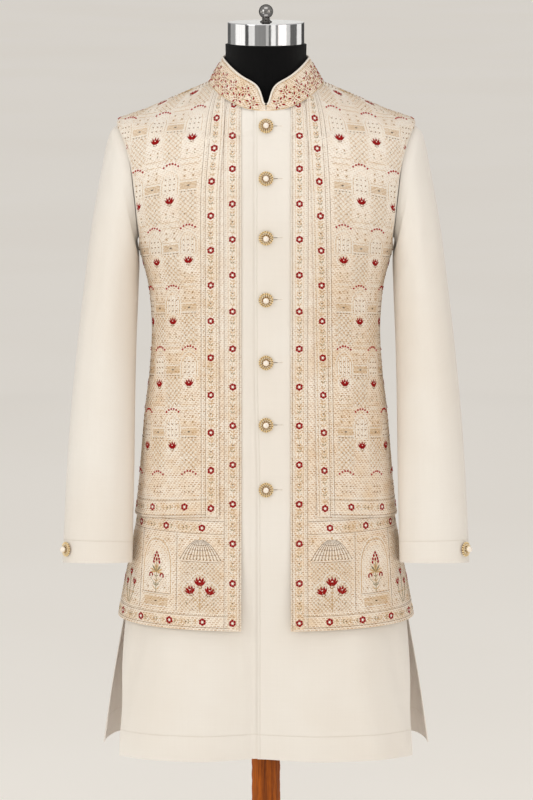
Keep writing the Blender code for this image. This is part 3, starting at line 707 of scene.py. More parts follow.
@dataclass
class ClothMap:
    """Finds the place of a point given as metres across and up a piece of cloth."""

    points: Array
    outward: Array
    room: Array
    across_start: float
    across_step: float
    up_step: float
    turned: bool = False

    def _mix(self, table: Array, spots: Array) -> Array:
        """A table's values between its own points.

        Args:
            table: values at the map's points.
            spots: (n, 2) metres across and up.

        Returns:
            The values.
        """
        rows, columns = table.shape[:2]
        v = np.clip(spots[:, 1] / self.up_step, 0, rows - 1.001)
        u = np.clip((spots[:, 0] - self.across_start) / self.across_step, 0, columns - 1.001)
        i, j = v.astype(int), u.astype(int)
        p, q = v - i, u - j
        if table.ndim == 3:
            p, q = p[:, None], q[:, None]
        low = table[i, j] * (1 - q) + table[i, j + 1] * q
        return low * (1 - p) + (table[i + 1, j] * (1 - q) + table[i + 1, j + 1] * q) * p

    def lay(self, spots: Array, lift: Array | float) -> Array:
        """Places on the cloth.

        Args:
            spots: (n, 2) metres across and up.
            lift: how far off the cloth.

        Returns:
            (n, 3) places.
        """
        lift = np.broadcast_to(np.asarray(lift, float), (len(spots),))
        return self._mix(self.points, spots) + unit(self._mix(self.outward, spots)) * lift[:, None]

    def room_at(self, spots: Array) -> Array:
        """How far inside the cloth's edges each spot is; below 0 outside them.

        Args:
            spots: (n, 2) metres across and up.

        Returns:
            Metres.
        """
        rows, columns = self.room.shape
        inside = ((spots[:, 1] >= 0) & (spots[:, 1] <= (rows - 1) * self.up_step)
                  & (spots[:, 0] >= self.across_start)
                  & (spots[:, 0] <= self.across_start + (columns - 1) * self.across_step))
        return np.where(inside, self._mix(self.room, spots), -1.0)


def outward_of(points: Array, hint: Array) -> tuple[Array, bool]:
    """The outward directions of a grid of points.

    Args:
        points: (rows, columns, 3).
        hint: roughly outward directions, the same shape.

    Returns:
        The directions, and whether the grid's columns run the other way round.
    """
    normal = unit(np.cross(np.gradient(points, axis=1), np.gradient(points, axis=0)))
    turned = bool((normal * hint).sum() < 0)
    return (-normal if turned else normal), turned


def body_map(surface: BodySurface, layer: Layer, hem: float, start: Callable[[Array], Array],
             towards: tuple[int, ...], side: Callable[[Array], Array], reach: float,
             rise: float = 0.0) -> ClothMap:
    """Maps a panel on the body.

    Args:
        surface: the surface that the cloth follows.
        layer: the panel's layer.
        hem: its lowest ring.
        start: the angle of the line from which metres across are counted, from the ring heights.
        towards: +1 to count to the wearer's left, -1 to the right, both for a back.
        side: how far from 0 (a front) or 180 (a back) the panel reaches, in degrees, from the ring heights.
        reach: metres across that the map covers each way.
        rise: how much higher the hem is at front and back than at the side.

    Returns:
        The map.
    """
    across_step, up_step = 0.004, 0.004
    is_back = len(towards) == 2
    line = 140.0 if is_back else 40.0
    heights = np.linspace(hem, NECK_Z, 500)
    run = lengths_along(surface.on(layer, heights, np.full(500, line), WALLS[layer].outer))
    rows = np.interp(np.arange(0, run[-1], up_step), run, heights)
    columns = int(reach / across_step)
    parts = []
    for direction in sorted(towards):
        turns = np.linspace(0, 110, 90)
        angles = start(rows)[:, None] + direction * turns[None, :]
        lengths = lengths_along(surface.on(layer, rows[:, None], angles, WALLS[layer].outer))
        even = np.arange(columns + 1) * across_step
        found = np.stack([np.interp(even, length, angle) for length, angle in zip(lengths, angles)])
        parts.append(found[:, ::-1] if direction < 0 and is_back else found)
    angle = np.concatenate([parts[0][:, :-1], parts[1]], 1) if is_back else parts[0]
    z = np.broadcast_to(rows[:, None], angle.shape)
    z = z + rise * np.cos(np.radians(angle)) ** 2 * (1 - smooth_step(z, hem, hem + HEM_BLEND))
    first = surface.on(layer, z, angle, WALLS[layer].outer)
    lengths = lengths_up(first).T
    evenly = np.arange(0, lengths[:, -1].max(), up_step)
    z, angle = (np.stack([np.interp(evenly, length, column) for length, column in zip(lengths, table.T)], 1)
                for table in (z, angle))
    points = surface.on(layer, z, angle, WALLS[layer].outer)
    points[..., 2] += (evenly[:, None] - lengths[None, :, -1]).clip(0.0) * 0.2  # keeps spent columns apart
    outward, turned = outward_of(points, surface.normal(z, angle, layer is not Layer.KURTA))
    centre = 180.0 if is_back else 0.0
    a_degree = np.radians(1.0) * SIDE_RADIUS
    spare = (side(z) - np.abs(angle - centre)) * a_degree
    up = evenly[:, None]
    from_start = spare if is_back else np.broadcast_to(np.arange(columns + 1) * across_step, spare.shape)
    room = np.minimum(np.minimum(spare, from_start), np.minimum(up, lengths[None, :, -1] - up))
    across_start = -columns * across_step if is_back else 0.0
    return ClothMap(points, outward, room, across_start, across_step, up_step, turned)


# Needlework


class Thread(Enum):
    """What a stitch or bead is made of, by its material's number on a piece of needlework."""

    GOLD = 0
    CREAM = 1
    RED = 2
    SAGE = 3
    SILVER = 4
    DARK = 5
    SHADE = 6


GOLD, CREAM, RED, SAGE, SILVER, DARK, SHADE = Thread
Spot = tuple[float, float]


def swing(s: float, t: float, reach: float, turn: float) -> Spot:
    """The spot at a reach from another, at a turn in radians."""
    return s + reach * math.cos(turn), t + reach * math.sin(turn)


class Needlework:
    """Raised stitches and beads on one panel, set out in millimetres across and up its cloth."""

    SUNK = 0.00018  # the stitches' edges lie this far in the cloth
    STEP = 0.0075

    def __init__(self, cloth: ClothMap) -> None:
        """Starts with no stitches.

        Args:
            cloth: the map of the panel that they lie on.
        """
        self.cloth = cloth
        self.spots: list[Array] = []
        self.widths: list[Array] = []
        self.heights: list[Array] = []
        self.threads: list[int] = []
        self.beads: list[tuple[float, float, float, float, int]] = []

    def _stroke(self, spots: Array, widths: Array, heights: Array, thread: Thread) -> None:
        """Keeps one stroke, given in millimetres.

        Args:
            spots: places along it.
            widths: its width at each.
            heights: how much it stands up at each.
            thread: its thread.
        """
        self.spots.append(spots * MM)
        self.widths.append(widths * MM)
        self.heights.append(heights * MM)
        self.threads.append(thread.value)

    def line(self, path: Sequence[Spot], width: float, thread: Thread, height: float = 0.35) -> None:
        """Lays a cord along a path.

        Args:
            path: its corners.
            width: its width.
            thread: its thread.
            height: how far it stands up.
        """
        corners = np.array(path, float)
        pieces = [corners[:1]]
        for a, b in zip(corners, corners[1:]):
            count = max(1, math.ceil(float(np.hypot(*(b - a))) * MM / self.STEP))
            pieces.append(a + (b - a) * (np.arange(1, count + 1) / count)[:, None])
        spots = np.concatenate(pieces)
        n = len(spots)
        self._stroke(spots, np.full(n, width), np.full(n, height), thread)

    def petal(self, foot: Spot, tip: Spot, width: float, thread: Thread, height: float = 0.55,
              full: float = 0.55, bend: float = 0.0) -> None:
        """Lays a satin petal or leaf.

        Args:
            foot: where it starts.
            tip: its point.
            width: its greatest width.
            thread: its thread.
            height: how far it stands up.
            full: how far along it is widest, as a share.
            bend: how far its middle lies to one side.
        """
        a, b = np.array(foot, float), np.array(tip, float)
        t = np.array([0.0, full * 0.5, full, (1 + full) / 2, 1.0])
        shape = np.array([0.18, 0.8, 1.0, 0.66, 0.04])
        side = np.array([-(b - a)[1], (b - a)[0]])
        spots = a + (b - a) * t[:, None] + side * (bend * 4 * t * (1 - t))[:, None]
        self._stroke(spots, width * shape, height * (0.45 + 0.55 * shape), thread)

    def bead(self, spot: Spot, radius: float, thread: Thread, height: float | None = None) -> None:
        """Sews on a bead.

        Args:
            spot: its middle.
            radius: its radius.
            thread: its finish.
            height: how far it stands up, its radius without it.
        """
        self.beads.append((spot[0] * MM, spot[1] * MM, radius * MM, (height or radius) * MM, thread.value))

    def build(self, name: str, materials: Sequence[Material]) -> Object:
        """Makes the needlework's mesh.

        Args:
            name: the piece's name.
            materials: one for each thread.

        Returns:
            The object.
        """
        maker = MeshMaker()
        self._add_strokes(maker)
        if self.beads:
            self._add_beads(maker)
        return maker.build(name, materials)

    def _add_strokes(self, maker: MeshMaker) -> None:
        """Adds every stroke that lies on the cloth.

        Args:
            maker: where they go.
        """
        spots = np.concatenate(self.spots)
        width, height = np.concatenate(self.widths), np.concatenate(self.heights)
        counts = np.array([len(s) for s in self.spots])
        owner = np.repeat(np.arange(len(counts)), counts)
        thread = np.array(self.threads)[owner]
        last = np.cumsum(counts) - 1
        first = last - counts + 1
        along = unit(headings(spots, first, last))
        side = np.stack([-along[:, 1], along[:, 0]], -1) * (width / 2)[:, None]
        room = self.cloth.room_at(spots)
        good = room > np.minimum(width * 0.5, 0.0010) + 0.0003
        left = self.cloth.lay(spots + side, -self.SUNK)
        ridge = self.cloth.lay(spots, height)
        right = self.cloth.lay(spots - side, -self.SUNK)
        steps = spots - np.roll(spots, 1, 0)
        steps[first] = 0.0
        run = np.cumsum(np.linalg.norm(steps, axis=1))
        going_on = good & np.roll(good, -1)
        going_on[last] = False
        k = np.flatnonzero(going_on)
        used = np.unique(np.concatenate([k, k + 1]))
        new = np.full(len(spots), -1)
        new[used] = np.arange(len(used))
        n, a, b = len(used), new[k], new[k + 1]
        faces = np.concatenate([spread(a, a + n, b + n, b), spread(a + n, a + 2 * n, b + 2 * n, b + n)])
        if self.cloth.turned:
            faces = faces[:, ::-1]
        marks = np.concatenate([np.stack([run[used], sign * width[used] / 2], -1) for sign in (1, 0, -1)])
        points = np.concatenate([left[used], ridge[used], right[used]])
        maker.add(points, [faces], np.tile(thread[k], 2), marks)

    def _add_beads(self, maker: MeshMaker) -> None:
        """Adds every bead that lies on the cloth.

        Args:
            maker: where they go.
        """
        table = np.array(self.beads)
        table = table[self.cloth.room_at(table[:, :2]) > table[:, 2] + 0.0004]
        if not len(table):
            return
        sides = 6
        turn = circle(sides)
        ring = spread(np.cos(turn), np.sin(turn))
        n = len(table)
        rings = []
        for share, lift in ((1.0, None), (0.78, 0.62)):
            spots = table[:, None, :2] + ring[None] * (table[:, 2] * share)[:, None, None]
            rise = np.repeat(table[:, 3] * lift, sides) if lift else -self.SUNK
            rings.append(self.cloth.lay(spots.reshape(-1, 2), rise))
        top = self.cloth.lay(table[:, :2], table[:, 3])
        bead, side = np.arange(n)[:, None], np.arange(sides)
        base, following, count = bead * sides + side, bead * sides + (side + 1) % sides, n * sides
        walls = spread(base, following, following + count, base + count).reshape(-1, 4)
        caps = spread(base + count, following + count, 2 * count + bead).reshape(-1, 3)
        if self.cloth.turned:
            walls, caps = walls[:, ::-1], caps[:, ::-1]
        slots = np.repeat(table[:, 4].astype(int), sides)
        points = np.concatenate([*rings, top])
        marks = np.tile((ThreadFinish.pitch / 2, 0.0), (len(points), 1))
        maker.add(points, [walls], slots, marks)
        maker.faces.append((caps + maker.count - len(points), slots))


# Finishes


class Wire:
    """A node's output, which sums can be done with as if it were a number."""

    def __init__(self, bench: "NodeBench", socket: Socket) -> None:
        """Keeps the output and the bench that it is on."""
        self.bench, self.socket = bench, socket

    def __add__(self, other: "Value") -> "Wire":
        """Both together."""
        return self.bench.math("ADD", self, other)

    def __sub__(self, other: "Value") -> "Wire":
        """This less the other."""
        return self.bench.math("SUBTRACT", self, other)

    def __rsub__(self, other: "Value") -> "Wire":
        """The other less this."""
        return self.bench.math("SUBTRACT", other, self)

    def __mul__(self, other: "Value") -> "Wire":
        """This times the other."""
        return self.bench.math("MULTIPLY", self, other)

    def __truediv__(self, other: "Value") -> "Wire":
        """This over the other."""
        return self.bench.math("DIVIDE", self, other)

    def __gt__(self, other: "Value") -> "Wire":
        """1 where this is the greater."""
        return self.bench.math("GREATER_THAN", self, other)

    def __lt__(self, other: "Value") -> "Wire":
        """1 where this is the smaller."""
        return self.bench.math("LESS_THAN", self, other)

    def __abs__(self) -> "Wire":
        """This without its sign."""
        return self.bench.math("ABSOLUTE", self)

    __radd__ = __add__


Value = Wire | float | tuple
Wires = dict[str, Wire]


def tone(red: int, green: int, blue: int) -> tuple[float, float, float, float]:
    """A colour given as it looks on a screen, 0 to 255, for a shader."""
    parts = ((c / 255 / 12.92) if c < 11 else ((c / 255 + 0.055) / 1.055) ** 2.4 for c in (red, green, blue))
    return (*parts, 1.0)


class NodeBench:
    """Puts nodes into one shader or group tree."""

    def __init__(self, tree: bpy.types.NodeTree) -> None:
        """Starts at the tree's left."""
        self.tree = tree
        self.made = 0

    def node(self, kind: str, feeds: dict[str | int, Value] | None = None, **settings: object) -> Node:
        """Adds a node.

        Args:
            kind: the node's type.
            feeds: a value or a wire for each named or numbered input.
            settings: the node's own settings.

        Returns:
            The node.
        """
        node = self.tree.nodes.new(kind)
        node.location = (190 * (self.made % 12), -260 * (self.made // 12))
        self.made += 1
        for name, value in settings.items():
            setattr(node, name, value)
        for name, value in (feeds or {}).items():
            self.feed(node.inputs[name], value)
        return node

    def feed(self, socket: Socket, value: Value) -> None:
        """Sets an input to a value, or links a wire to it.

        Args:
            socket: the input.
            value: a value or a wire.
        """
        if isinstance(value, Wire):
            self.tree.links.new(value.socket, socket)
        else:
            socket.default_value = value

    def wire(self, kind: str, feeds: dict[str | int, Value] | None = None, output: int | str = 0,
             **settings: object) -> Wire:
        """Adds a node, and gives one of its outputs."""
        return Wire(self, self.node(kind, feeds, **settings).outputs[output])

    def math(self, operation: str, *values: Value) -> Wire:
        """The result of a sum on one or two values."""
        return self.wire("ShaderNodeMath", dict(enumerate(values)), operation=operation)

    def mix(self, share: Value, first: Value, second: Value) -> Wire:
        """Two colours mixed, by the second one's share."""
        return self.wire("ShaderNodeMix", {0: share, 6: first, 7: second}, 2, data_type="RGBA")

    def between(self, value: Value, low: float, high: float) -> Wire:
        """A soft step from 0 at low to 1 at high."""
        feeds = {"Value": value, "From Min": low, "From Max": high}
        return self.wire("ShaderNodeMapRange", feeds, interpolation_type="SMOOTHSTEP")

    def noise(self, vector: Value, scale: Value, detail: float = 3.0, roughness: float = 0.55) -> Wire:
        """Soft noise, 0 to 1."""
        feeds = {"Vector": vector, "Scale": scale, "Detail": detail, "Roughness": roughness}
        return self.wire("ShaderNodeTexNoise", feeds)

    def marks(self) -> tuple[Wire, Wire, Wire]:
        """Metres along the cloth: the pair, and each by itself."""
        pair = self.wire("ShaderNodeUVMap", uv_map=CLOTH_MAP)
        parts = self.node("ShaderNodeSeparateXYZ", {0: pair}).outputs
        return pair, Wire(self, parts[0]), Wire(self, parts[1])

    def place(self) -> Wire:
        """The place on the object, in metres."""
        return self.wire("ShaderNodeTexCoord", output="Object")

    def stretch(self, vector: Wire, x: float, y: float, z: float = 1.0) -> Wire:
        """A place with each of its measures scaled."""
        return self.wire("ShaderNodeVectorMath", {0: vector, 1: (x, y, z)}, operation="MULTIPLY")


class Effect:
    """A shader effect that several finishes share: a node group made once."""

    made: dict[str, bpy.types.NodeTree] = {}

    def __init__(self, name: str, work: Callable[[NodeBench, Wires], Wires], outputs: tuple[str, ...],
                 inputs: dict[str, Value]) -> None:
        """Makes the group.

        Args:
            name: the group's name.
            work: fills the group from its inputs, and gives each output.
            outputs: their names; Color is a colour, any other a number.
            inputs: each input's first value, a colour if it has four parts.
        """
        tree = bpy.data.node_groups.new(name, "ShaderNodeTree")
        for label, value in inputs.items():
            kind = "NodeSocketColor" if isinstance(value, tuple) else "NodeSocketFloat"
            tree.interface.new_socket(name=label, in_out="INPUT", socket_type=kind).default_value = value
        for label in outputs:
            kind = "NodeSocketColor" if label == "Color" else "NodeSocketFloat"
            tree.interface.new_socket(name=label, in_out="OUTPUT", socket_type=kind)
        bench = NodeBench(tree)
        entry = bench.node("NodeGroupInput").outputs
        bench.node("NodeGroupOutput", work(bench, {label: Wire(bench, entry[label]) for label in inputs}))
        self.made[name] = tree

    @classmethod
    def use(cls, bench: NodeBench, name: str, **values: Value) -> Wires:
        """Places the group in a finish.

        Args:
            bench: the finish's tree.
            name: the group's name.
            values: its inputs, with _ for spaces.

        Returns:
            Its outputs by name.
        """
        node = bench.node("ShaderNodeGroup", node_tree=cls.made[name])
        for label, value in values.items():
            bench.feed(node.inputs[label.replace("_", " ")], value)
        return {output.name: Wire(bench, output) for output in node.outputs}


def _plain_weave(b: NodeBench, i: Wires) -> Wires:
    """Warp and weft that pass over and under each other, with slubs along the weft.

    Args:
        b: where the group's nodes go.
        i: its inputs.

    Returns:
        Its outputs.
    """
    pair, u, v = b.marks()
    across, up = u * math.pi / i["Warp Pitch"], v * math.pi / i["Weft Pitch"]
    warp, weft = abs(b.math("COSINE", across)), abs(b.math("COSINE", up))
    over = (b.math("SINE", across) * b.math("SINE", up) > 0.0) * (weft - warp)
    slub = b.noise(b.stretch(pair, 14.0, 420.0), 1.0, 2.0)
    run = b.noise(b.stretch(pair, 380.0, 10.0), 1.0, 2.0)
    uneven = ((slub - 0.5) + (run - 0.5)) * i["Unevenness"]
    return {"Height": warp + over + uneven, "Shade": 0.5 + uneven}


def _tone_drift(b: NodeBench, i: Wires) -> Wires:
    """A slow drift between two tones over the piece.

    Args:
        b: where the group's nodes go.
        i: its inputs.

    Returns:
        Its outputs.
    """
    value = b.between(b.noise(b.place(), i["Scale"]), 0.32, 0.70)
    return {"Color": b.mix(value * i["Amount"], i["Tone"], i["Second Tone"]), "Value": value}


def _stitch_row(b: NodeBench, i: Wires) -> Wires:
    """A row of machine stitches and the dip that they pull, at a distance across from their line.

    Args:
        b: where the group's nodes go.
        i: its inputs.

    Returns:
        Its outputs.
    """
    off = abs(i["Across"])
    dip = 1.0 - b.between(off, 0.0, 0.0016)
    on = (b.math("FRACT", i["Along"] / i["Length"]) > 0.14) * (off < 0.00034)
    return {"Height": on * 0.8 - dip, "Dip": dip}


def _satin_stitch(b: NodeBench, i: Wires) -> Wires:
    """Threads laid side by side, aslant over a cord or petal.

    Args:
        b: where the group's nodes go.
        i: its inputs.

    Returns:
        Its outputs.
    """
    pair, u, v = b.marks()
    ridge = abs(b.math("SINE", (u + v * i["Slant"]) * math.pi / i["Pitch"]))
    uneven = b.noise(b.stretch(pair, 900.0, 300.0), 1.0, 2.0)
    return {"Height": ridge + uneven * 0.4, "Shade": ridge * 0.6 + uneven * 0.4}


def _seed_stitches(b: NodeBench, i: Wires) -> Wires:
    """Short running stitches in staggered rows, that come and go in patches.

    Args:
        b: where the group's nodes go.
        i: its inputs.

    Returns:
        Its outputs.
    """
    pair, u, v = b.marks()
    row = v / i["Row Pitch"]
    run = b.math("FRACT", u / i["Length"] + b.math("FLOOR", row) * 0.37)
    across = abs(b.math("FRACT", row) - 0.5)
    on = (run < 0.66) * (across < 0.27)
    patch = b.between(b.noise(b.stretch(pair, 1.0, 1.6), i["Patch Scale"], 2.0), 0.40, 0.60)
    return {"Mask": on * (0.35 + patch * 0.65), "Height": on * (1.0 - across * 3.0)}


def _knit_rib(b: NodeBench, i: Wires) -> Wires:
    """The wales and courses of a jersey.

    Args:
        b: where the group's nodes go.
        i: its inputs.

    Returns:
        Its outputs.
    """
    _, u, v = b.marks()
    wale = u / i["Wale Pitch"]
    course = b.math("FRACT", v / i["Course Pitch"] + abs(b.math("FRACT", wale) - 0.5) * 1.4)
    rib = abs(b.math("SINE", wale * math.pi))
    return {"Height": b.math("SINE", course * math.pi) * rib, "Shade": rib}


def _handling(b: NodeBench, i: Wires) -> Wires:
    """Faint smears and fine scratches from being handled and wiped.

    Args:
        b: where the group's nodes go.
        i: its inputs.

    Returns:
        Its outputs.
    """
    place = b.place()
    smear = b.between(b.noise(place, i["Scale"], 4.0, 0.6), 0.45, 0.75)
    fine = b.between(b.noise(b.stretch(place, 40.0, 40.0, 900.0), 1.0, 2.0), 0.55, 0.75)
    return {"Mask": (smear * 0.7 + fine * 0.3) * i["Amount"]}


def _edge_wear_and_hollow_shade(b: NodeBench, i: Wires) -> Wires:
    """Rubbed high edges, and low places that are painted darker, as grime and painted shade.

    Args:
        b: where the group's nodes go.
        i: its inputs.

    Returns:
        Its outputs.
    """
    point = b.wire("ShaderNodeNewGeometry", output="Pointiness")
    there = point + (b.noise(b.place(), i["Scale"]) - 0.5) * 0.06
    # Hollow: the low places, which the finishes paint darker as grime and painted shade
    return {"Edge": b.between(there, 0.51, 0.58) * i["Amount"],
            "Hollow": (1.0 - b.between(there, 0.42, 0.495)) * i["Amount"]}


def _wood_grain(b: NodeBench, i: Wires) -> Wires:
    """Long fibres and darker streaks along Z.

    Args:
        b: where the group's nodes go.
        i: its inputs.

    Returns:
        Its outputs.
    """
    place = b.place()
    streak = b.noise(b.stretch(place, 1.0, 1.0, 0.07), i["Streak Scale"], 4.0, 0.65)
    fibre = b.noise(b.stretch(place, 1.0, 1.0, 0.03), i["Streak Scale"] * 5.0, 3.0, 0.7)
    share = b.between(streak * 0.65 + fibre * 0.35, 0.34, 0.66)
    return {"Color": b.mix(share, i["Dark"], i["Light"]), "Height": streak + fibre, "Value": share}


WHITE = (1.0, 1.0, 1.0, 1.0)
BLACK = (0.0, 0.0, 0.0, 1.0)
EFFECTS = (
    ("Plain Weave", _plain_weave, ("Height", "Shade"),
     {"Warp Pitch": 0.0006, "Weft Pitch": 0.0007, "Unevenness": 0.5}),
    ("Tone Drift", _tone_drift, ("Color", "Value"),
     {"Tone": WHITE, "Second Tone": WHITE, "Scale": 4.0, "Amount": 0.5}),
    ("Stitch Row", _stitch_row, ("Height", "Dip"), {"Across": 0.0, "Along": 0.0, "Length": 0.0028}),
    ("Satin Stitch", _satin_stitch, ("Height", "Shade"), {"Pitch": 0.0005, "Slant": 0.6}),
    ("Seed Stitches", _seed_stitches, ("Mask", "Height"),
     {"Row Pitch": 0.0016, "Length": 0.0042, "Patch Scale": 30.0}),
    ("Knit Rib", _knit_rib, ("Height", "Shade"), {"Wale Pitch": 0.0011, "Course Pitch": 0.0009}),
    ("Handling", _handling, ("Mask",), {"Scale": 30.0, "Amount": 0.5}),
    ("Edge Wear And Hollow Shade", _edge_wear_and_hollow_shade, ("Edge", "Hollow"), {"Scale": 300.0, "Amount": 1.0}),
    ("Wood Grain", _wood_grain, ("Color", "Height", "Value"),
     {"Light": WHITE, "Dark": BLACK, "Streak Scale": 60.0}),
)


class Paint(NodeBench):
    """A bench for one material and its Principled shader."""

    def __init__(self, name: str, **constants: float | tuple) -> None:
        """Makes the material.

        Args:
            name: the material's name.
            constants: values of the shader's own sockets, with _ for spaces.
        """
        self.material = bpy.data.materials.new(name)
        self.material.use_nodes = True
        super().__init__(self.material.node_tree)
        self.into(**constants)

    def into(self, **values: Value) -> None:
        """Feeds the shader's sockets, with _ for spaces."""
        for label, value in values.items():
            self.feed(self.tree.nodes["Principled BSDF"].inputs[label.replace("_", " ")], value)

    def finish(self, colour: Value, roughness: Value, height: Wire, distance: float,
               strength: float = 1.0) -> Material:
        """Feeds what every finish has.

        Args:
            colour: the base colour.
            roughness: the roughness.
            height: the relief, for the normal.
            distance: how high a height of 1 stands, in metres.
            strength: how much of the relief shows.

        Returns:
            The material.
        """
        bump = self.wire("ShaderNodeBump", {"Strength": strength, "Distance": distance, "Height": height})
        self.into(Base_Color=colour, Roughness=roughness, Normal=bump)
        return self.material


@dataclass(frozen=True)
class IvoryCloth:
    """The kurta's fine matt suiting."""

    name: str
    colour: tuple = tone(239, 234, 226)
    second: tuple = tone(234, 226, 215)
    pitch: float = 0.00062
    stitch_rows: tuple[tuple[str, float], ...] = ()  # "up" or "across", and metres from the hem or edge

    def material(self) -> Material:
        """Makes it."""
        b = Paint(self.name, Sheen_Weight=0.18, Sheen_Roughness=0.45, IOR=1.4, Specular_IOR_Level=0.25)
        weave = Effect.use(b, "Plain Weave", Warp_Pitch=self.pitch, Weft_Pitch=self.pitch * 1.15,
                           Unevenness=0.22)
        drift = Effect.use(b, "Tone Drift", Tone=self.colour, Second_Tone=self.second, Scale=5.0, Amount=0.6)
        low = b.mix(0.07, drift["Color"], (0.42, 0.34, 0.25, 1.0))
        colour = b.mix(b.between(weave["Shade"], 0.30, 0.78), low, drift["Color"])
        height = weave["Height"] * 0.12
        _, u, v = b.marks()
        for way, place in self.stitch_rows:
            across, along = (v, u) if way == "up" else (u, v)
            row = Effect.use(b, "Stitch Row", Across=across - place, Along=along, Length=0.0030)
            # painted shade: the dip that each stitch row pulls is darkened in colour
            colour = b.mix(row["Dip"] * 0.10, colour, tone(190, 165, 135))
            height = height + row["Height"] * 0.5
        return b.finish(colour, 0.74 + weave["Height"] * 0.08, height, 0.0005)


@dataclass(frozen=True)
class StitchedGround:
    """The jacket's beige silk, worked all over with seed stitches."""

    name: str
    colour: tuple = tone(250, 237, 219)
    second: tuple = tone(239, 214, 182)
    cream: tuple = tone(255, 250, 241)
    gold: tuple = tone(184, 136, 82)

    def material(self) -> Material:
        """Makes it."""
        b = Paint(self.name, Sheen_Weight=0.12, Sheen_Roughness=0.4, IOR=1.45)
        weave = Effect.use(b, "Plain Weave", Warp_Pitch=0.0004, Weft_Pitch=0.0005, Unevenness=0.6)
        drift = Effect.use(b, "Tone Drift", Tone=self.colour, Second_Tone=self.second, Scale=24.0, Amount=1.0)
        seeds = Effect.use(b, "Seed Stitches", Row_Pitch=0.0017, Length=0.0041, Patch_Scale=46.0)
        fine = Effect.use(b, "Seed Stitches", Row_Pitch=0.0029, Length=0.0063, Patch_Scale=90.0)
        ground = b.mix(b.between(weave["Shade"], 0.3, 0.8) * 0.10, drift["Color"], tone(170, 140, 105))
        worked = b.mix(fine["Mask"] * 0.85, b.mix(seeds["Mask"], ground, self.cream), self.gold)
        # painted light: the ground turns creamier from 0.25 to 0.60 m up the cloth, lighter towards the top
        worked = b.mix(b.between(b.marks()[2], 0.25, 0.60) * 0.45, worked, self.cream)
        height = weave["Height"] * 0.12 + seeds["Height"] * 0.7 + fine["Height"] * 0.5
        return b.finish(worked, 0.72 - seeds["Mask"] * 0.22, height, 0.0004)


@dataclass(frozen=True)
class ThreadFinish:
    """A thread laid in satin stitches."""

    name: str
    colour: tuple
    shadow: tuple
    roughness: float = 0.5
    metal: float = 0.0
    pitch: float = 0.00045

    def material(self) -> Material:
        """Makes it."""
        b = Paint(self.name, Anisotropic=0.3, IOR=1.45, Specular_IOR_Level=0.22, Metallic=self.metal)
        satin = Effect.use(b, "Satin Stitch", Pitch=self.pitch, Slant=0.7)
        colour = b.mix(b.between(satin["Shade"], 0.05, 0.55), self.shadow, self.colour)
        return b.finish(colour, self.roughness - 0.08 + satin["Shade"] * 0.16, satin["Height"], 0.0002, 0.8)


@dataclass(frozen=True)
class MetalFinish:
    """A plated metal, with grime and painted shade in its low places, and rubbed edges."""

    name: str
    colour: tuple
    grime_and_shade: tuple
    roughness: float
    smear: float = 0.10
    wear_and_shade: float = 0.6
    scale: float = 60.0
    rim: tuple = WHITE

    def material(self) -> Material:
        """Makes it."""
        b = Paint(self.name, Metallic=1.0, Specular_Tint=self.rim)
        marks = Effect.use(b, "Handling", Scale=self.scale, Amount=1.0)
        wear_and_shade = Effect.use(b, "Edge Wear And Hollow Shade", Scale=900.0, Amount=self.wear_and_shade)
        lighter = tuple(min(1.0, c * 1.12) for c in self.colour[:3]) + (1.0,)
        # low places painted towards the darker colour, as grime and painted shade; high edges lighter, as
        # wear
        colour = b.mix(wear_and_shade["Edge"], b.mix(wear_and_shade["Hollow"], self.colour, self.grime_and_shade), lighter)
        rough = self.roughness + marks["Mask"] * self.smear + wear_and_shade["Hollow"] * 0.25
        return b.finish(colour, rough, marks["Mask"], 0.00004, 0.5)


@dataclass(frozen=True)
class GemFinish:
    """A pearl, a paste stone or a glass bead: smooth, with a soft bloom."""

    name: str
    colour: tuple
    second: tuple
    roughness: float
    coat: float = 0.6
    metal: float = 0.0

    def material(self) -> Material:
        """Makes it."""
        b = Paint(self.name, Coat_Weight=self.coat, Coat_Roughness=0.08, IOR=1.55, Metallic=self.metal)
        drift = Effect.use(b, "Tone Drift", Tone=self.colour, Second_Tone=self.second, Scale=260.0,
                           Amount=0.8)
        marks = Effect.use(b, "Handling", Scale=400.0, Amount=1.0)
        return b.finish(drift["Color"], self.roughness + marks["Mask"] * 0.10, drift["Value"], 0.00005, 0.4)


@dataclass(frozen=True)
class JerseyFinish:
    """The form's black stretch jersey."""

    name: str = "black_jersey"
    colour: tuple = tone(11, 11, 12)
    second: tuple = tone(8, 8, 9)

    def material(self) -> Material:
        """Makes it."""
        b = Paint(self.name, Sheen_Weight=0.04, Sheen_Roughness=0.35, IOR=1.4, Specular_IOR_Level=0.16)
        rib = Effect.use(b, "Knit Rib", Wale_Pitch=0.0011, Course_Pitch=0.0010)
        drift = Effect.use(b, "Tone Drift", Tone=self.colour, Second_Tone=self.second, Scale=18.0, Amount=0.8)
        colour = b.mix(rib["Shade"] * 0.35, drift["Color"], tone(4, 4, 5))
        return b.finish(colour, 0.74 - rib["Height"] * 0.12, rib["Height"], 0.0003)


@dataclass(frozen=True)
class WoodFinish:
    """Oiled brown wood."""

    name: str
    light: tuple
    dark: tuple
    roughness: float
    streak_scale: float
    coat: float

    def material(self) -> Material:
        """Makes it."""
        b = Paint(self.name, Coat_Weight=self.coat, Coat_Roughness=0.25, IOR=1.5, Specular_IOR_Level=0.3)
        grain = Effect.use(b, "Wood Grain", Light=self.light, Dark=self.dark, Streak_Scale=self.streak_scale)
        wear_and_shade = Effect.use(b, "Edge Wear And Hollow Shade", Scale=120.0, Amount=0.7)
        marks = Effect.use(b, "Handling", Scale=25.0, Amount=1.0)
        # the carving's low places painted dark, as grime and painted shade; high edges lighter, as wear
        colour = b.mix(wear_and_shade["Hollow"], b.mix(wear_and_shade["Edge"], grain["Color"], self.light), self.dark)
        rough = self.roughness + marks["Mask"] * 0.15 - grain["Value"] * 0.08
        return b.finish(colour, rough, grain["Height"], 0.0006)


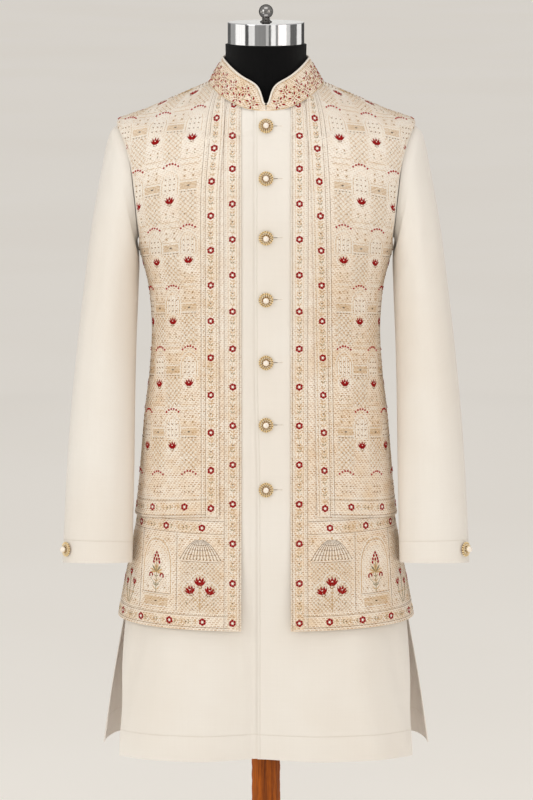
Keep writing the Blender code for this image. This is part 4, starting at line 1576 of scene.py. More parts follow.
class Wardrobe:
    """Every finish, made once."""

    def __init__(self) -> None:
        """Makes the effects, then the finishes."""
        for effect in EFFECTS:
            Effect(*effect)
        self.kurta = IvoryCloth("ivory_cloth", stitch_rows=(("up", 0.040),)).material()
        self.placket = IvoryCloth("ivory_placket", stitch_rows=(("up", 0.040), ("across", 0.0040))).material()
        self.sleeve = IvoryCloth("ivory_sleeve", stitch_rows=(("up", 0.034),)).material()
        self.piping = IvoryCloth("ivory_piping", tone(244, 236, 224), tone(238, 227, 212), 0.0005).material()
        self.ground = StitchedGround("embroidered_ground").material()
        self.threads = [finish.material() for finish in (
            ThreadFinish("gold_thread", tone(220, 184, 134), tone(156, 114, 68), 0.42, 0.15),
            ThreadFinish("cream_thread", tone(254, 247, 236), tone(226, 205, 176), 0.50),
            ThreadFinish("red_silk", tone(160, 3, 4), tone(112, 1, 2), 0.6),
            ThreadFinish("sage_thread", tone(150, 138, 98), tone(96, 84, 54), 0.5, 0.1),
            GemFinish("silver_bead", tone(214, 208, 196), tone(168, 158, 140), 0.22, 0.5, 0.5),
            ThreadFinish("dark_gold_thread", tone(142, 106, 68), tone(92, 64, 40), 0.5, 0.1),
            ThreadFinish("shade_thread", tone(92, 68, 42), tone(50, 36, 22), 0.6),
        )]
        self.gilt = MetalFinish("gilt", tone(248, 222, 176), tone(104, 70, 36), 0.32, 0.14, 1.0).material()
        # a darker gilt for the plate round the pearl: painted shade in the gaps between the stones
        self.recess_painted_shade = MetalFinish("gilt_painted_shade", tone(150, 112, 72), tone(30, 20, 12), 0.5, 0.14,
                                  0.3).material()
        self.pearl = GemFinish("pearl", tone(250, 243, 232), tone(240, 222, 202), 0.16, 0.7).material()
        self.stone = GemFinish("paste_stone", tone(252, 240, 214), tone(216, 188, 146), 0.12, 1.0).material()
        self.chrome = MetalFinish("chrome", tone(226, 226, 228), tone(150, 150, 150), 0.07, 0.08, 0.3,
                                  35.0).material()
        # the finial's chrome, darker and with a darker rim tint: painted dark reflections of the surroundings
        self.chrome_painted_dark_reflection = MetalFinish("chrome_painted_dark_reflection", tone(150, 148, 146), tone(30, 30, 30), 0.07, 0.08, 0.3,
                                       35.0, tone(60, 56, 54)).material()
        self.jersey = JerseyFinish().material()
        self.carved, self.turned = (finish.material() for finish in (
            WoodFinish("carved_wood", tone(196, 100, 4), tone(112, 50, 1), 0.7, 85.0, 0.0),
            WoodFinish("turned_wood", tone(174, 90, 14), tone(104, 48, 4), 0.40, 40.0, 0.3)))


# The kurta


MAP_REACH = 0.32  # metres across that a jacket panel's map covers each way
BUTTON_HEIGHTS = (1.4655, 1.3865, 1.2955, 1.1985, 1.1005, 1.0040, 0.9040)
SHARP = 50.0  # cloth edges stay crisp above this angle


def make_panel(surface: BodySurface, layer: Layer, node: str, heights: Array, angles: Array,
               material: Material, mirrored: bool = False, sink: Array | float = 0.0,
               lift: Array | float = 0.0) -> Object:
    """Makes one panel of cloth on the body.

    Args:
        surface: the surface that it follows.
        layer: its layer.
        node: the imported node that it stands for.
        heights: its ring heights, one a row or one a place.
        angles: (rows, columns) degrees round the body.
        material: its finish.
        mirrored: its front edge is the last column, as on a right front.
        sink: how far it sinks in, to pass under another.
        lift: how much thicker each side of it is, as at a turned-up hem.

    Returns:
        The panel.
    """
    wall = WALLS[layer]
    outer = surface.on(layer, heights, angles, wall.outer - (sink - lift))
    inner = surface.on(layer, heights, angles, wall.inner - (sink + lift))
    across = lengths_along(outer)
    if mirrored:
        across = across[:, -1:] - across
    maker = MeshMaker()
    add_shell(maker, outer, inner, spread(across, lengths_up(outer)))
    slot = "ivory_cloth" if layer is Layer.KURTA else "embroidered_cloth"
    return dress(maker.build(f"{node}_cloth", [material], SHARP), slot, node)


@dataclass
class Kurta:
    """The long ivory kurta: two fronts that lap at the placket, a back, and two sleeves."""

    surface: BodySurface
    finishes: Wardrobe
    hem_turn: float = 0.040
    hem_lift: float = 0.0004
    cuff_turn: float = 0.034
    sleeve_rows: int = 104
    sleeve_columns: int = 72
    column_width: float = 0.0055  # metres across the cloth from one column to the next, on average
    # Along a sleeve, from the armhole to the cuff: its outer and inner edge in front view, the ring's
    # middle from front to back, half its depth, how far its front is raised, and the armhole's share.
    sleeve: tuple = (
        (0.2285, 1.461, 0.1995, 1.285, 0.000, 0.063, 0.000, 1.00),
        (0.2405, 1.451, 0.2030, 1.270, 0.000, 0.066, 0.000, 0.80),
        (0.2480, 1.430, 0.1985, 1.254, 0.000, 0.069, 0.000, 0.50),
        (0.2555, 1.392, 0.1980, 1.236, -0.001, 0.071, 0.002, 0.20),
        (0.2635, 1.350, 0.1988, 1.215, -0.004, 0.071, 0.004, 0.00),
        (0.2708, 1.308, 0.1995, 1.192, -0.008, 0.069, 0.006, 0.00),
        (0.2845, 1.203, 0.2026, 1.116, -0.018, 0.064, 0.008, 0.00),
        (0.2968, 1.095, 0.2045, 1.035, -0.030, 0.057, 0.009, 0.00),
        (0.3070, 0.985, 0.2055, 0.953, -0.043, 0.050, 0.009, 0.00),
        (0.3135, 0.880, 0.2070, 0.870, -0.054, 0.045, 0.008, 0.00),
        (0.3178, 0.779, 0.2095, 0.779, -0.062, 0.041, 0.006, 0.00),
    )
    sleeve_wall: float = 0.0012
    # A sleeve's soft creases: place along it as a share, turn round it, length as a share, width in
    # degrees, depth.
    sleeve_creases: tuple = (
        (0.46, 62.0, 0.10, 16.0, -0.0022), (0.54, 118.0, 0.09, 18.0, -0.0020),
        (0.60, 40.0, 0.16, 12.0, 0.0014),
        (0.34, 95.0, 0.14, 20.0, -0.0018), (0.78, 75.0, 0.18, 16.0, 0.0014), (0.16, 60.0, 0.10, 18.0, 0.0012),
        (0.50, 215.0, 0.12, 18.0, -0.0022), (0.66, 260.0, 0.18, 18.0, 0.0018),
        (0.30, 290.0, 0.14, 20.0, -0.0018),
        (0.88, 130.0, 0.12, 15.0, -0.0012),
    )

    def make(self) -> dict[str, Object]:
        """Makes the five pieces.

        Returns:
            The pieces by name.
        """
        rows = ring_heights(KURTA_HEM_Z, KURTA_ARMHOLE)
        return {"front_left": self._front_left(rows), "front_right": self._front_right(rows),
                "back": self._back(rows), "sleeve_left": self._sleeve(1, "left"),
                "sleeve_right": self._sleeve(-1, "right")}

    def _panel(self, word: str, rows: Array, angles: Array, material: Material,
               sink: Array | float = 0.0) -> Object:
        """A panel on the body, thicker where its hem is turned up."""
        hem = 1 - smooth_step(rows - rows[0], self.hem_turn - 0.001, self.hem_turn + 0.0012)
        return make_panel(self.surface, Layer.KURTA, f"kurta_{word}", rows[:, None], angles, material,
                          word == "front_right", sink, self.hem_lift * hem[:, None])

    def _front_left(self, rows: Array) -> Object:
        """The wearer's left front, which laps over."""
        angles = self.surface.front_angles(Layer.KURTA, rows, PLACKET_EDGE(rows), 40)
        return self._panel("front_left", rows, angles, self.finishes.placket)

    def _front_right(self, rows: Array) -> Object:
        """The wearer's right front, which sinks in and passes under.

        Args:
            rows: the ring heights of its rows.

        Returns:
            The panel.
        """
        far = -self.surface.side_angle(Layer.KURTA, rows)[:, None]
        near = self.surface.angle_at_x(rows, SINK_X[0])[:, None]
        end = self.surface.angle_at_x(rows, UNDERLAP_X)[:, None]
        main, lap = np.linspace(0, 1, 34)[:-1], np.linspace(0, 1, 20)
        angles = np.concatenate([far + (near - far) * main, near + (end - near) * lap], 1)
        sink = UNDERLAP_SINK * smooth_step(self.surface.point(rows[:, None], angles, False)[..., 0], *SINK_X)
        return self._panel("front_right", rows, angles, self.finishes.kurta, sink)

    def _back(self, rows: Array) -> Object:
        """The back, in one."""
        return self._panel("back", rows, self.surface.back_angles(Layer.KURTA, rows), self.finishes.kurta)

    def sleeve_grid(self, side: int, inwards: float, share: Array, turn: Array) -> Array:
        """Places on a sleeve.

        Args:
            side: 1 for the wearer's left, -1 for the right.
            inwards: how far in from its outside.
            share: (rows, 1) places along it, 0 at the armhole and 1 at the cuff.
            turn: (1, columns) degrees round it: 0 its outer edge, 90 its front.

        Returns:
            (rows, columns, 3) places.
        """
        ring = share * (len(self.sleeve) - 1)
        steps = np.arange(len(self.sleeve))
        out_x, out_z, in_x, in_z, mid_y, half_depth, rake, armhole = (
            Profile(list(zip(steps, column)))(ring) for column in zip(*self.sleeve))
        s, c = np.sin(np.radians(turn)), np.cos(np.radians(turn))
        length = np.hypot(out_x - in_x, out_z - in_z) / 2
        soft = self._sleeve_soft(side, share, turn) - inwards
        reach = c * (length + soft) / length
        x = (out_x + in_x) / 2 + (out_x - in_x) / 2 * reach
        z = (out_z + in_z) / 2 + (out_z - in_z) / 2 * reach + s * rake
        y = mid_y - s * (half_depth + soft)
        first = self.sleeve[0]
        hole = KURTA_ARMHOLE
        height = (hole.tip + hole.underarm) / 2 + (hole.tip - hole.underarm) / 2 * c
        own = self.surface.point(height, 90 - hole.spread * s, False)
        x = x + (own[..., 0] - ((first[0] + first[2]) / 2 + (first[0] - first[2]) / 2 * c)) * armhole
        y = y + (own[..., 1] + s * first[5]) * armhole
        z = z + (own[..., 2] - ((first[1] + first[3]) / 2 + (first[1] - first[3]) / 2 * c)) * armhole
        x = x + 2 * SEAM_GAP * (share <= 0)
        return np.stack([side * x, y, z], -1)

    def _sleeve_soft(self, side: int, share: Array, turn: Array) -> Array:
        """How far a sleeve's soft creases move its cloth outwards.

        Args:
            side: 1 for the wearer's left, -1 for the right.
            share: (rows, 1) places along it.
            turn: (1, columns) degrees round it.

        Returns:
            Metres outwards.
        """
        total = 0.0
        for along, around, length, width, depth in self.sleeve_creases:
            lean = (share - along) * 60 * (1 if side > 0 else -0.4)
            off = (turn - around - lean + 180) % 360 - 180
            place = along if side > 0 else along + 0.02
            total = total + depth * np.exp(-((off / width) ** 2) - ((share - place) / length) ** 2)
        hem = 1 - smooth_step((1 - share) * 0.69, self.cuff_turn - 0.001, self.cuff_turn + 0.0012)
        return total * smooth_step(share, 0.02, 0.10) + self.hem_lift * hem

    def _sleeve(self, side: int, word: str) -> Object:
        """A sleeve: a tube from the armhole to its open cuff.

        Args:
            side: 1 for the wearer's left, -1 for the right.
            word: left or right.

        Returns:
            The sleeve.
        """
        share = np.linspace(1, 0, self.sleeve_rows)[:, None]
        turn = -side * np.linspace(0, 360, self.sleeve_columns, endpoint=False)[None]
        outer = self.sleeve_grid(side, 0.0, share, turn)
        inner = self.sleeve_grid(side, self.sleeve_wall, share, turn)
        across = np.arange(self.sleeve_columns) * self.column_width
        maker = MeshMaker()
        add_shell(maker, outer, inner, spread(across, lengths_up(outer).mean(1, keepdims=True)), ring=True)
        piece = maker.build(f"kurta_sleeve_{word}_cloth", [self.finishes.sleeve], SHARP)
        return dress(piece, "ivory_cloth", f"kurta_sleeve_{word}")


@dataclass
class Buttonholes:
    """The worked buttonholes beside the placket's buttons."""

    surface: BodySurface
    finishes: Wardrobe
    start: float = 8.0  # millimetres from centre front
    end: float = 27.0

    def make(self) -> Object:
        """Makes them all as one piece of needlework.

        Returns:
            The piece.
        """
        cloth = body_map(self.surface, Layer.KURTA, KURTA_HEM_Z,
                         lambda z: self.surface.angle_at_x(z, PLACKET_START), (1,),
                         lambda z: self.surface.side_angle(Layer.KURTA, z), 0.12)
        work = Needlework(cloth)
        edge = -PLACKET_START / MM
        a, b = edge + self.start, edge + self.end
        for up in self._ups(cloth):
            for off in (1.15, -1.15):
                work.line([(a, up + off), (b - 1.5, up + off)], 0.8, CREAM, 0.30)
            # the dark strokes along the slit's middle are painted shade in its opening, darkest beside the
            # button
            work.line([(a, up), (a + 9.6, up)], 1.25, SHADE, 0.36)
            work.line([(a + 9.6, up), (b - 1.5, up)], 0.6, DARK, 0.12)
            work.line([(b - 1.2, up - 1.5), (b - 1.2, up + 1.5)], 0.9, CREAM, 0.36)
        return dress(work.build("buttonhole_stitches", self.finishes.threads), "ivory_cloth")

    def _ups(self, cloth: ClothMap) -> list[float]:
        """How far up the placket, in millimetres, each buttonhole is."""
        line = cloth.points[:, int(-PLACKET_START / cloth.across_step)]
        ups = np.arange(len(line)) * cloth.up_step
        return [float(np.interp(z, line[:, 2], ups)) / MM for z in BUTTON_HEIGHTS]


# The jacket's embroidery


class Pattern:
    """Traditional motifs set out in rows, columns and borders, in millimetres on a needlework."""

    def __init__(self, work: Needlework, seed: int) -> None:
        """Takes the needlework to draw on.

        Args:
            work: where the stitches go.
            seed: starts the small unevenness of the hand.
        """
        self.work = work
        self.chance = np.random.default_rng(seed)

    def flower(self, s: float, t: float, radius: float = 5.9, petals: int = 6, turn: float = 90.0) -> None:
        """A round red flower with a pale middle.

        Args:
            s: millimetres across.
            t: millimetres up.
            radius: its radius.
            petals: how many petals it has.
            turn: where its first petal points, in degrees.
        """
        turn = turn + float(self.chance.uniform(-8, 8))
        for k in range(petals):
            a = math.radians(turn + 360 * k / petals)
            tip = swing(s, t, radius * float(self.chance.uniform(0.94, 1.06)), a)
            self.work.petal(swing(s, t, radius * 0.30, a), tip, radius, RED, 0.8, 0.66)
        self.work.bead((s, t), radius * 0.31, CREAM, 0.9)
        for k in range(petals):
            a = math.radians(turn + 360 * (k + 0.5) / petals)
            self.work.bead(swing(s, t, radius * 0.42, a), 0.42, CREAM, 0.5)

    def tulip(self, s: float, t: float, size: float = 1.0, lean: float = 0.0, petals: int = 5,
              halo: bool = True) -> None:
        """A red tulip on its calyx, in a cream halo.

        Args:
            s: millimetres across.
            t: millimetres up.
            size: its size.
            lean: degrees that it leans over.
            petals: how many petals it has.
            halo: whether a cream halo stands round it.
        """
        up = (math.sin(math.radians(lean)), math.cos(math.radians(lean)))

        def at(x: float, y: float) -> Spot:
            """A place on the leaning flower, from x across and y up."""
            return (s + size * (x * up[1] + y * up[0]), t + size * (y * up[1] - x * up[0]))

        shape = ((-6.6, 1.8, 2.9), (6.6, 1.8, 2.9), (-4.2, 4.6, 3.6), (4.2, 4.6, 3.6), (0.0, 5.6, 4.0))
        for x, y, wide in shape[5 - petals:]:
            self.work.petal(at(x * 0.2, -4.6), at(x, y), size * wide, RED, 0.9, 0.55)
        self.work.bead(at(0, 0.2), 0.9 * size, CREAM, 1.5)
        for x in (-2.0, 0.0, 2.0):
            self.work.bead(at(x, -5.9 - 0.8 * (x == 0)), 0.8 * size, DARK, 0.7)
        if halo:
            for sign in (-1, 1):
                bow = ((2.8, -8.2), (8.0, -4.6), (9.4, 1.4), (6.6, 7.0), (0, 9.6))
                self.work.line([at(sign * x, y) for x, y in bow], 1.6 * size, CREAM, 0.35)

    def leaf_pair(self, s: float, t: float, angle: float, length: float, thread: Thread = GOLD) -> None:
        """Two leaves either side of a stem that runs at an angle."""
        for off in (48, -48):
            tip = swing(s, t, length, math.radians(angle + off))
            self.work.petal((s, t), tip, length * 0.40, thread, 0.45, 0.5, math.copysign(0.12, off))

    def sprig(self, start: Spot, end: Spot, leaves: int = 6) -> None:
        """A leafy gold stem between two places.

        Args:
            start: where it starts.
            end: where it ends.
            leaves: how many pairs of leaves.
        """
        first, whole = np.array(start), np.subtract(end, start)
        angle = math.degrees(math.atan2(whole[1], whole[0]))
        side = unit(np.array([-whole[1], whole[0]]))
        wave = [tuple(first + whole * x + side * 1.5 * math.sin(9.4 * x)) for x in np.linspace(0, 1, 9)]
        self.work.line(wave, 0.8, GOLD, 0.35)
        for k in range(leaves):
            place = first + whole * (k + 0.5) / leaves
            thread = (GOLD, CREAM, SAGE, GOLD)[k % 4]
            self.leaf_pair(*place, angle, (4.6, 5.4)[k % 2], thread)
            self.work.bead(tuple(place + side * (3.4, -3.4)[k % 2]), 0.7, SAGE if k % 2 else GOLD, 0.7)
        self.work.bead(tuple(first + whole / 2), 1.1, SHADE, 0.9)

    def seeds(self, start: Spot, end: Spot, gap: float, radius: float, thread: Thread) -> None:
        """Evenly spaced beads on a straight run.

        Args:
            start: where it starts.
            end: where it ends.
            gap: from one to the next.
            radius: its radius.
            thread: its thread.
        """
        (s, t), (u, v) = start, end
        count = max(2, int(math.hypot(u - s, v - t) / gap))
        for k in range(count + 1):
            self.work.bead((s + (u - s) * k / count, t + (v - t) * k / count), radius, thread)

    def rails(self, start: Spot, end: Spot, offsets: Sequence[tuple[float, float, Thread]],
              across: bool) -> None:
        """Parallel cords beside a run, each with its offset, width and thread.

        Args:
            start: where it starts.
            end: where it ends.
            offsets: each cord's offset, width and thread.
            across: whether the run goes across.
        """
        (s, t), (u, v) = start, end
        for off, width, thread in offsets:
            ds, dt = (0.0, off) if across else (off, 0.0)
            self.work.line([(s + ds, t + dt), (u + ds, v + dt)], width, thread)

    def arc(self, s: float, t: float, width: float, rise: float, dots: int, thread: Thread,
            radius: float) -> None:
        """A bow of dots."""
        for k in range(dots):
            x = -1 + 2 * k / (dots - 1)
            self.work.bead((s + x * width / 2, t + rise * (1 - x * x)), radius, thread, radius * 0.9)

    def niche(self, s: float, t: float) -> None:
        """A domed cream niche with fine bars and bead dots, under a bow of red dots.

        Args:
            s: millimetres across.
            t: millimetres up.
        """
        for k in range(-3, 4):
            self.work.line([(s + k * 3.5, t + 12), (s + k * 3.5, t + 41 - 0.9 * k * k)], 2.5, CREAM, 0.4)
        for j in (-7.0, 0.0, 7.0):
            for k in range(3):
                self.work.bead((s + j, t + 16.0 + 8.4 * k), 1.15, DARK, 1.0)
        for sign in (-1, 1):
            outside = ((14.4, 9), (14.8, 30), (12.2, 39), (7.6, 45), (0, 48.5))
            self.work.line([(s + sign * x, t + y) for x, y in outside], 1.7, CREAM, 0.45)
            inside = ((12.6, 10), (12.8, 30), (10.4, 38))
            self.work.line([(s + sign * x, t + y) for x, y in inside], 0.6, GOLD, 0.35)
        self.arc(s, t + 52.0, 23.0, 4.8, 6, RED, 1.7)

    def trellis(self, s: float, t: float, width: float, height: float, pitch: float = 5.2,
                weight: float = 1.0) -> None:
        """Crossed slanting gold and cream lines in a box, with a bead in some lozenges.

        Args:
            s: millimetres across.
            t: millimetres up.
            width: its width.
            height: its height.
            pitch: from line to line.
            weight: the lines' thickness as a share.
        """
        half = width / 2
        for sign in (-1, 1):
            for k, c in enumerate(np.arange(-half - height, half, pitch)):
                low, high = max(c, -half), min(c + height, half)
                if high - low < 2.5:
                    continue
                path = [(s + sign * low, t + low - c), (s + sign * high, t + high - c)]
                thread = GOLD if k % 2 else CREAM
                self.work.line(path, (1.2 if thread is CREAM else 0.8) * weight, thread, 0.36)
        for k in range(int(height // (2.6 * pitch)) + 1):
            self.work.bead((s + (k % 2 - 0.5) * 3 * pitch, t + pitch * (2.6 * k + 1)), 0.95, DARK, 0.8)

    def bar(self, s: float, t: float, width: float, height: float) -> None:
        """A gold bar of laid threads with a dark eye and a cord above and below it.

        Args:
            s: millimetres across.
            t: millimetres up to its middle.
            width: its width.
            height: its height.
        """
        for k in range(int(height / 2.1)):
            y = t - height / 2 + 1.0 + 2.1 * k
            self.work.line([(s - width / 2, y), (s + width / 2, y)], 1.4, GOLD, 0.4)
        low, high = s - width / 2 - 1, s + width / 2 + 1
        for y in (-height / 2 - 2.0, height / 2 + 2.0):
            self.work.line([(low, t + y), (high, t + y)], 1.3, CREAM, 0.45)
            self.work.line([(low, t + y * 1.22), (high, t + y * 1.22)], 0.8, GOLD, 0.3)
        self.work.petal((s - 2.4, t), (s + 2.4, t), 2.6, SHADE, 0.9)

    def crosslet(self, s: float, t: float, size: float = 3.0) -> None:
        """A small gold cross of four leaves.

        Args:
            s: millimetres across.
            t: millimetres up.
            size: its size.
        """
        for k in range(4):
            a = math.radians(45 + 90 * k)
            self.work.petal((s, t), swing(s, t, size, a), size * 0.5, GOLD, 0.5)
        self.work.bead((s, t), 0.9, DARK, 0.8)

    def chevrons(self, s: float, t: float, width: float, count: int = 3, gap: float = 4.6) -> None:
        """Wavy lines across a column.

        Args:
            s: millimetres across.
            t: millimetres up.
            width: its width.
            count: how many lines.
            gap: from one to the next.
        """
        for k in range(count):
            points = [(s + x, t + gap * k + (1.3 if j % 2 else -0.4))
                      for j, x in enumerate(np.linspace(-width / 2, width / 2, 7))]
            self.work.line(points, 1.4 if k % 2 else 0.9, CREAM if k % 2 else GOLD, 0.36)

    def stack(self, s: float, t: float) -> None:
        """One repeat of the short layer's field, from its tulip up.

        Args:
            s: millimetres across.
            t: millimetres up.
        """
        self.tulip(s, t, 1.2)
        self.niche(s, t)
        self.trellis(s, t + 60.0, 29.0, 46.0, 3.9)
        self.seeds((s - 10.5, t + 108.5), (s + 10.5, t + 108.5), 5.0, 0.85, SHADE)
        self.bar(s, t + 117.5, 26.0, 10.5)
        for off in (-6.8, 6.8):
            self.crosslet(s + off, t + 132.5)
            self.crosslet(s + off, t + 141.5, 2.4)
        self.chevrons(s, t + 150.0, 27.0)
        for off in (-6.0, 6.0):
            self.work.bead((s + off, t + 167.5), 1.0, SAGE, 0.8)
            self.crosslet(s + off, t + 173.0, 2.2)

    def scatter(self, s_range: Spot, t_range: Spot, gap: float) -> None:
        """Tiny gold and cream stitches strewn over the ground.

        Args:
            s_range: from and to, across.
            t_range: from and to, up.
            gap: from one to the next.
        """
        count = int((s_range[1] - s_range[0]) * (t_range[1] - t_range[0]) / gap**2)
        places = self.chance.uniform((s_range[0], t_range[0]), (s_range[1], t_range[1]), (count, 2))
        leans = self.chance.uniform(0, math.pi, count)
        for k, ((s, t), a) in enumerate(zip(places, leans)):
            self.work.line([swing(s, t, -0.9, a), swing(s, t, 0.9, a)], 0.6, GOLD if k % 3 else CREAM, 0.3)


@dataclass
class BorderSizes:
    """Where an upright border's parts are, in millimetres from the front edge."""

    rails: tuple
    seeds: tuple
    flowers: float
    pitch: float
    first: float
    closing: float  # how far up the flowers' pitch would close to nothing


@dataclass
class Jacket:
    """The open embroidered jacket: a long layer and a shorter one over it."""

    surface: BodySurface
    finishes: Wardrobe
    front_columns: int = 34
    reach: float = 300.0  # millimetres across that the work covers each way, past the side
    short_border: BorderSizes = field(default_factory=lambda: BorderSizes(
        ((1.0, 1.2, CREAM), (3.6, 0.7, GOLD), (5.6, 1.1, CREAM), (19.4, 1.1, CREAM),
         (21.2, 0.8, DARK), (26.4, 1.5, CREAM), (28.2, 0.8, DARK)),
        (3.6, 23.8), 12.5, 58.8, 12.8, 1500.0))
    long_border: BorderSizes = field(default_factory=lambda: BorderSizes(
        ((1.3, 1.0, CREAM), (3.0, 0.8, DARK), (5.0, 1.4, CREAM), (7.0, 0.5, GOLD),
         (20.2, 0.5, GOLD), (22.0, 1.4, CREAM), (25.2, 0.9, CREAM), (26.6, 0.8, DARK)),
        (1.3, 23.6), 13.3, 61.8, 12.6, 1850.0))

    def make(self) -> None:
        """Makes the six panels and their needlework."""
        for layer, hem in ((Layer.LONG, LONG_HEM_Z), (Layer.SHORT, SHORT_HEM_Z)):
            for word in ("left", "right", "back"):
                cloth = self._panel(layer, hem, word)
                self._needlework(layer, hem, word)

    def _edge_x(self, layer: Layer, word: str) -> Callable[[Array], Array]:
        """A front edge's distance from centre front at each ring."""
        if layer is Layer.LONG:
            return lambda z: np.full(np.shape(z), LONG_EDGE_X)
        return SHORT_EDGE_LEFT if word == "left" else SHORT_EDGE_RIGHT

    def _name(self, layer: Layer, word: str) -> str:
        """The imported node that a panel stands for."""
        return f"jacket_{layer.value}_{'back' if word == 'back' else 'front_' + word}"

    def _panel(self, layer: Layer, hem: float, word: str) -> Object:
        """One panel's cloth.

        Args:
            layer: its layer.
            hem: its lowest ring.
            word: left, right or back.

        Returns:
            The panel.
        """
        rows = ring_heights(hem, JACKET_ARMHOLE)
        if word == "back":
            angles = self.surface.back_angles(layer, rows)
        else:
            edge = self._edge_x(layer, word)(rows)
            angles = self.surface.front_angles(layer, rows, edge, self.front_columns)
            if word == "right":
                angles = -angles[:, ::-1]
        heights = rows[:, None]
        if layer is Layer.SHORT:
            rise = SHORT_HEM_RISE * np.cos(np.radians(angles)) ** 2
            heights = heights + rise * (1 - smooth_step(heights, hem, hem + HEM_BLEND))
        return make_panel(self.surface, layer, self._name(layer, word), heights, angles, self.finishes.ground,
                          word == "right")

    def _needlework(self, layer: Layer, hem: float, word: str) -> Object:
        """One panel's embroidery.

        Args:
            layer: its layer.
            hem: its lowest ring.
            word: left, right or back.

        Returns:
            The needlework.
        """
        rise = SHORT_HEM_RISE if layer is Layer.SHORT else 0.0
        if word == "back":
            cloth = body_map(self.surface, layer, hem, lambda z: np.full(np.shape(z), 180.0), (1, -1),
                             lambda z: self.surface.back_half_angle(layer, z), MAP_REACH, rise)
        else:
            sign, edge = 1 if word == "left" else -1, self._edge_x(layer, word)
            cloth = body_map(self.surface, layer, hem,
                             lambda z: sign * self.surface.angle_at_x(z, edge(z), True), (sign,),
                             lambda z: self.surface.side_angle(layer, z), MAP_REACH, rise)
        work = Needlework(cloth)
        top = (len(cloth.points) - 1) * cloth.up_step / MM
        pattern = Pattern(work, 10 * list(Layer).index(layer) + ("left", "right", "back").index(word))
        draw = self._short_work if layer is Layer.SHORT else self._long_work
        draw(pattern, word == "back", top)
        self._armhole_cord(work, layer, word)
        name = self._name(layer, word).replace("jacket_", "embroidery_")
        return dress(work.build(name, self.finishes.threads), "embroidered_cloth")

    def _upright_border(self, pattern: Pattern, sizes: BorderSizes, top: float) -> None:
        """The border up a front edge.

        Args:
            pattern: where it is drawn.
            sizes: its parts' places.
            top: how far up the panel reaches.
        """
        low = 1.0
        pattern.rails((0, low), (0, top), sizes.rails, across=False)
        for s in sizes.seeds:
            pattern.seeds((s, low), (s, top), 3.1, 0.55, SILVER)
        t = sizes.first
        while t < top:
            pitch = sizes.pitch * (1 - (t / sizes.closing) ** 2)
            pattern.flower(sizes.flowers, t)
            pattern.sprig((sizes.flowers, t + 7.5), (sizes.flowers, t + pitch - 7.5), 9)
            t += pitch

    def _level_border(self, pattern: Pattern, run: Spot, middle: float, pitch: float, first: float,
                      rails: Sequence[tuple[float, float, Thread]], seeds: float) -> None:
        """A border along a hem.

        Args:
            pattern: where it is drawn.
            run: how far across it starts and ends.
            middle: how far up its middle is.
            pitch: from flower to flower.
            first: how far across the first flower is.
            rails: its cords' offsets, widths and threads.
            seeds: how far above its middle its row of beads is.
        """
        start, end = run
        pattern.rails((start, middle), (end, middle), rails, across=True)
        pattern.seeds((start, middle + seeds), (end, middle + seeds), 3.1, 0.55, SILVER)
        s = first
        while s < end:
            pattern.flower(s, middle)
            pattern.sprig((s + 7.5, middle), (s + pitch - 7.5, middle), 7)
            s += pitch

    def _short_work(self, pattern: Pattern, back: bool, top: float) -> None:
        """The short layer's embroidery.

        Args:
            pattern: where it is drawn.
            back: whether it is the back panel.
            top: how far up the panel reaches.
        """
        start = -self.reach if back else 0.0
        if not back:
            self._upright_border(pattern, self.short_border, top)
        rails = ((-14.6, 1.2, CREAM), (-12.8, 0.8, DARK), (-8.2, 1.1, CREAM),
                 (8.4, 1.1, CREAM), (10.2, 0.8, DARK), (14.0, 1.4, CREAM))
        run = (start, self.reach) if back else (20.0, self.reach)
        self._level_border(pattern, run, 16.0, 62.0, -310.0 if back else 56.0, rails, 12.0)
        if not back:
            pattern.rails((0, 1.4), (24, 1.4), ((0.0, 1.2, CREAM),), across=True)
        low = 33.0
        for row in range(-1, 8):
            t = 112.0 + 96.8 * row
            offset = 29.5 if row % 2 else 0.0
            columns = np.arange(-6, 7) * 59.0 + offset if back else 78.0 - offset + np.arange(0, 4) * 59.0
            for s in columns:
                if s >= 45 or back:
                    self._stack_above(pattern, float(s), t, low)
        pattern.scatter((start + 4 if back else 31.0, self.reach), (low, top), 8.0 if back else 6.0)

    def _stack_above(self, pattern: Pattern, s: float, t: float, low: float) -> None:
        """One repeat, keeping only what is above the hem's border.

        Args:
            pattern: where it is drawn.
            s: millimetres across.
            t: millimetres up.
            low: nothing is kept below this, in millimetres up.
        """
        work = pattern.work
        marks = len(work.spots), len(work.beads)
        pattern.stack(s, t)
        keep = [k for k in range(marks[0], len(work.spots)) if work.spots[k][:, 1].min() > low * MM]
        for name in ("spots", "widths", "heights", "threads"):
            whole = getattr(work, name)
            setattr(work, name, whole[:marks[0]] + [whole[k] for k in keep])
        work.beads = work.beads[:marks[1]] + [b for b in work.beads[marks[1]:] if b[1] > low * MM]

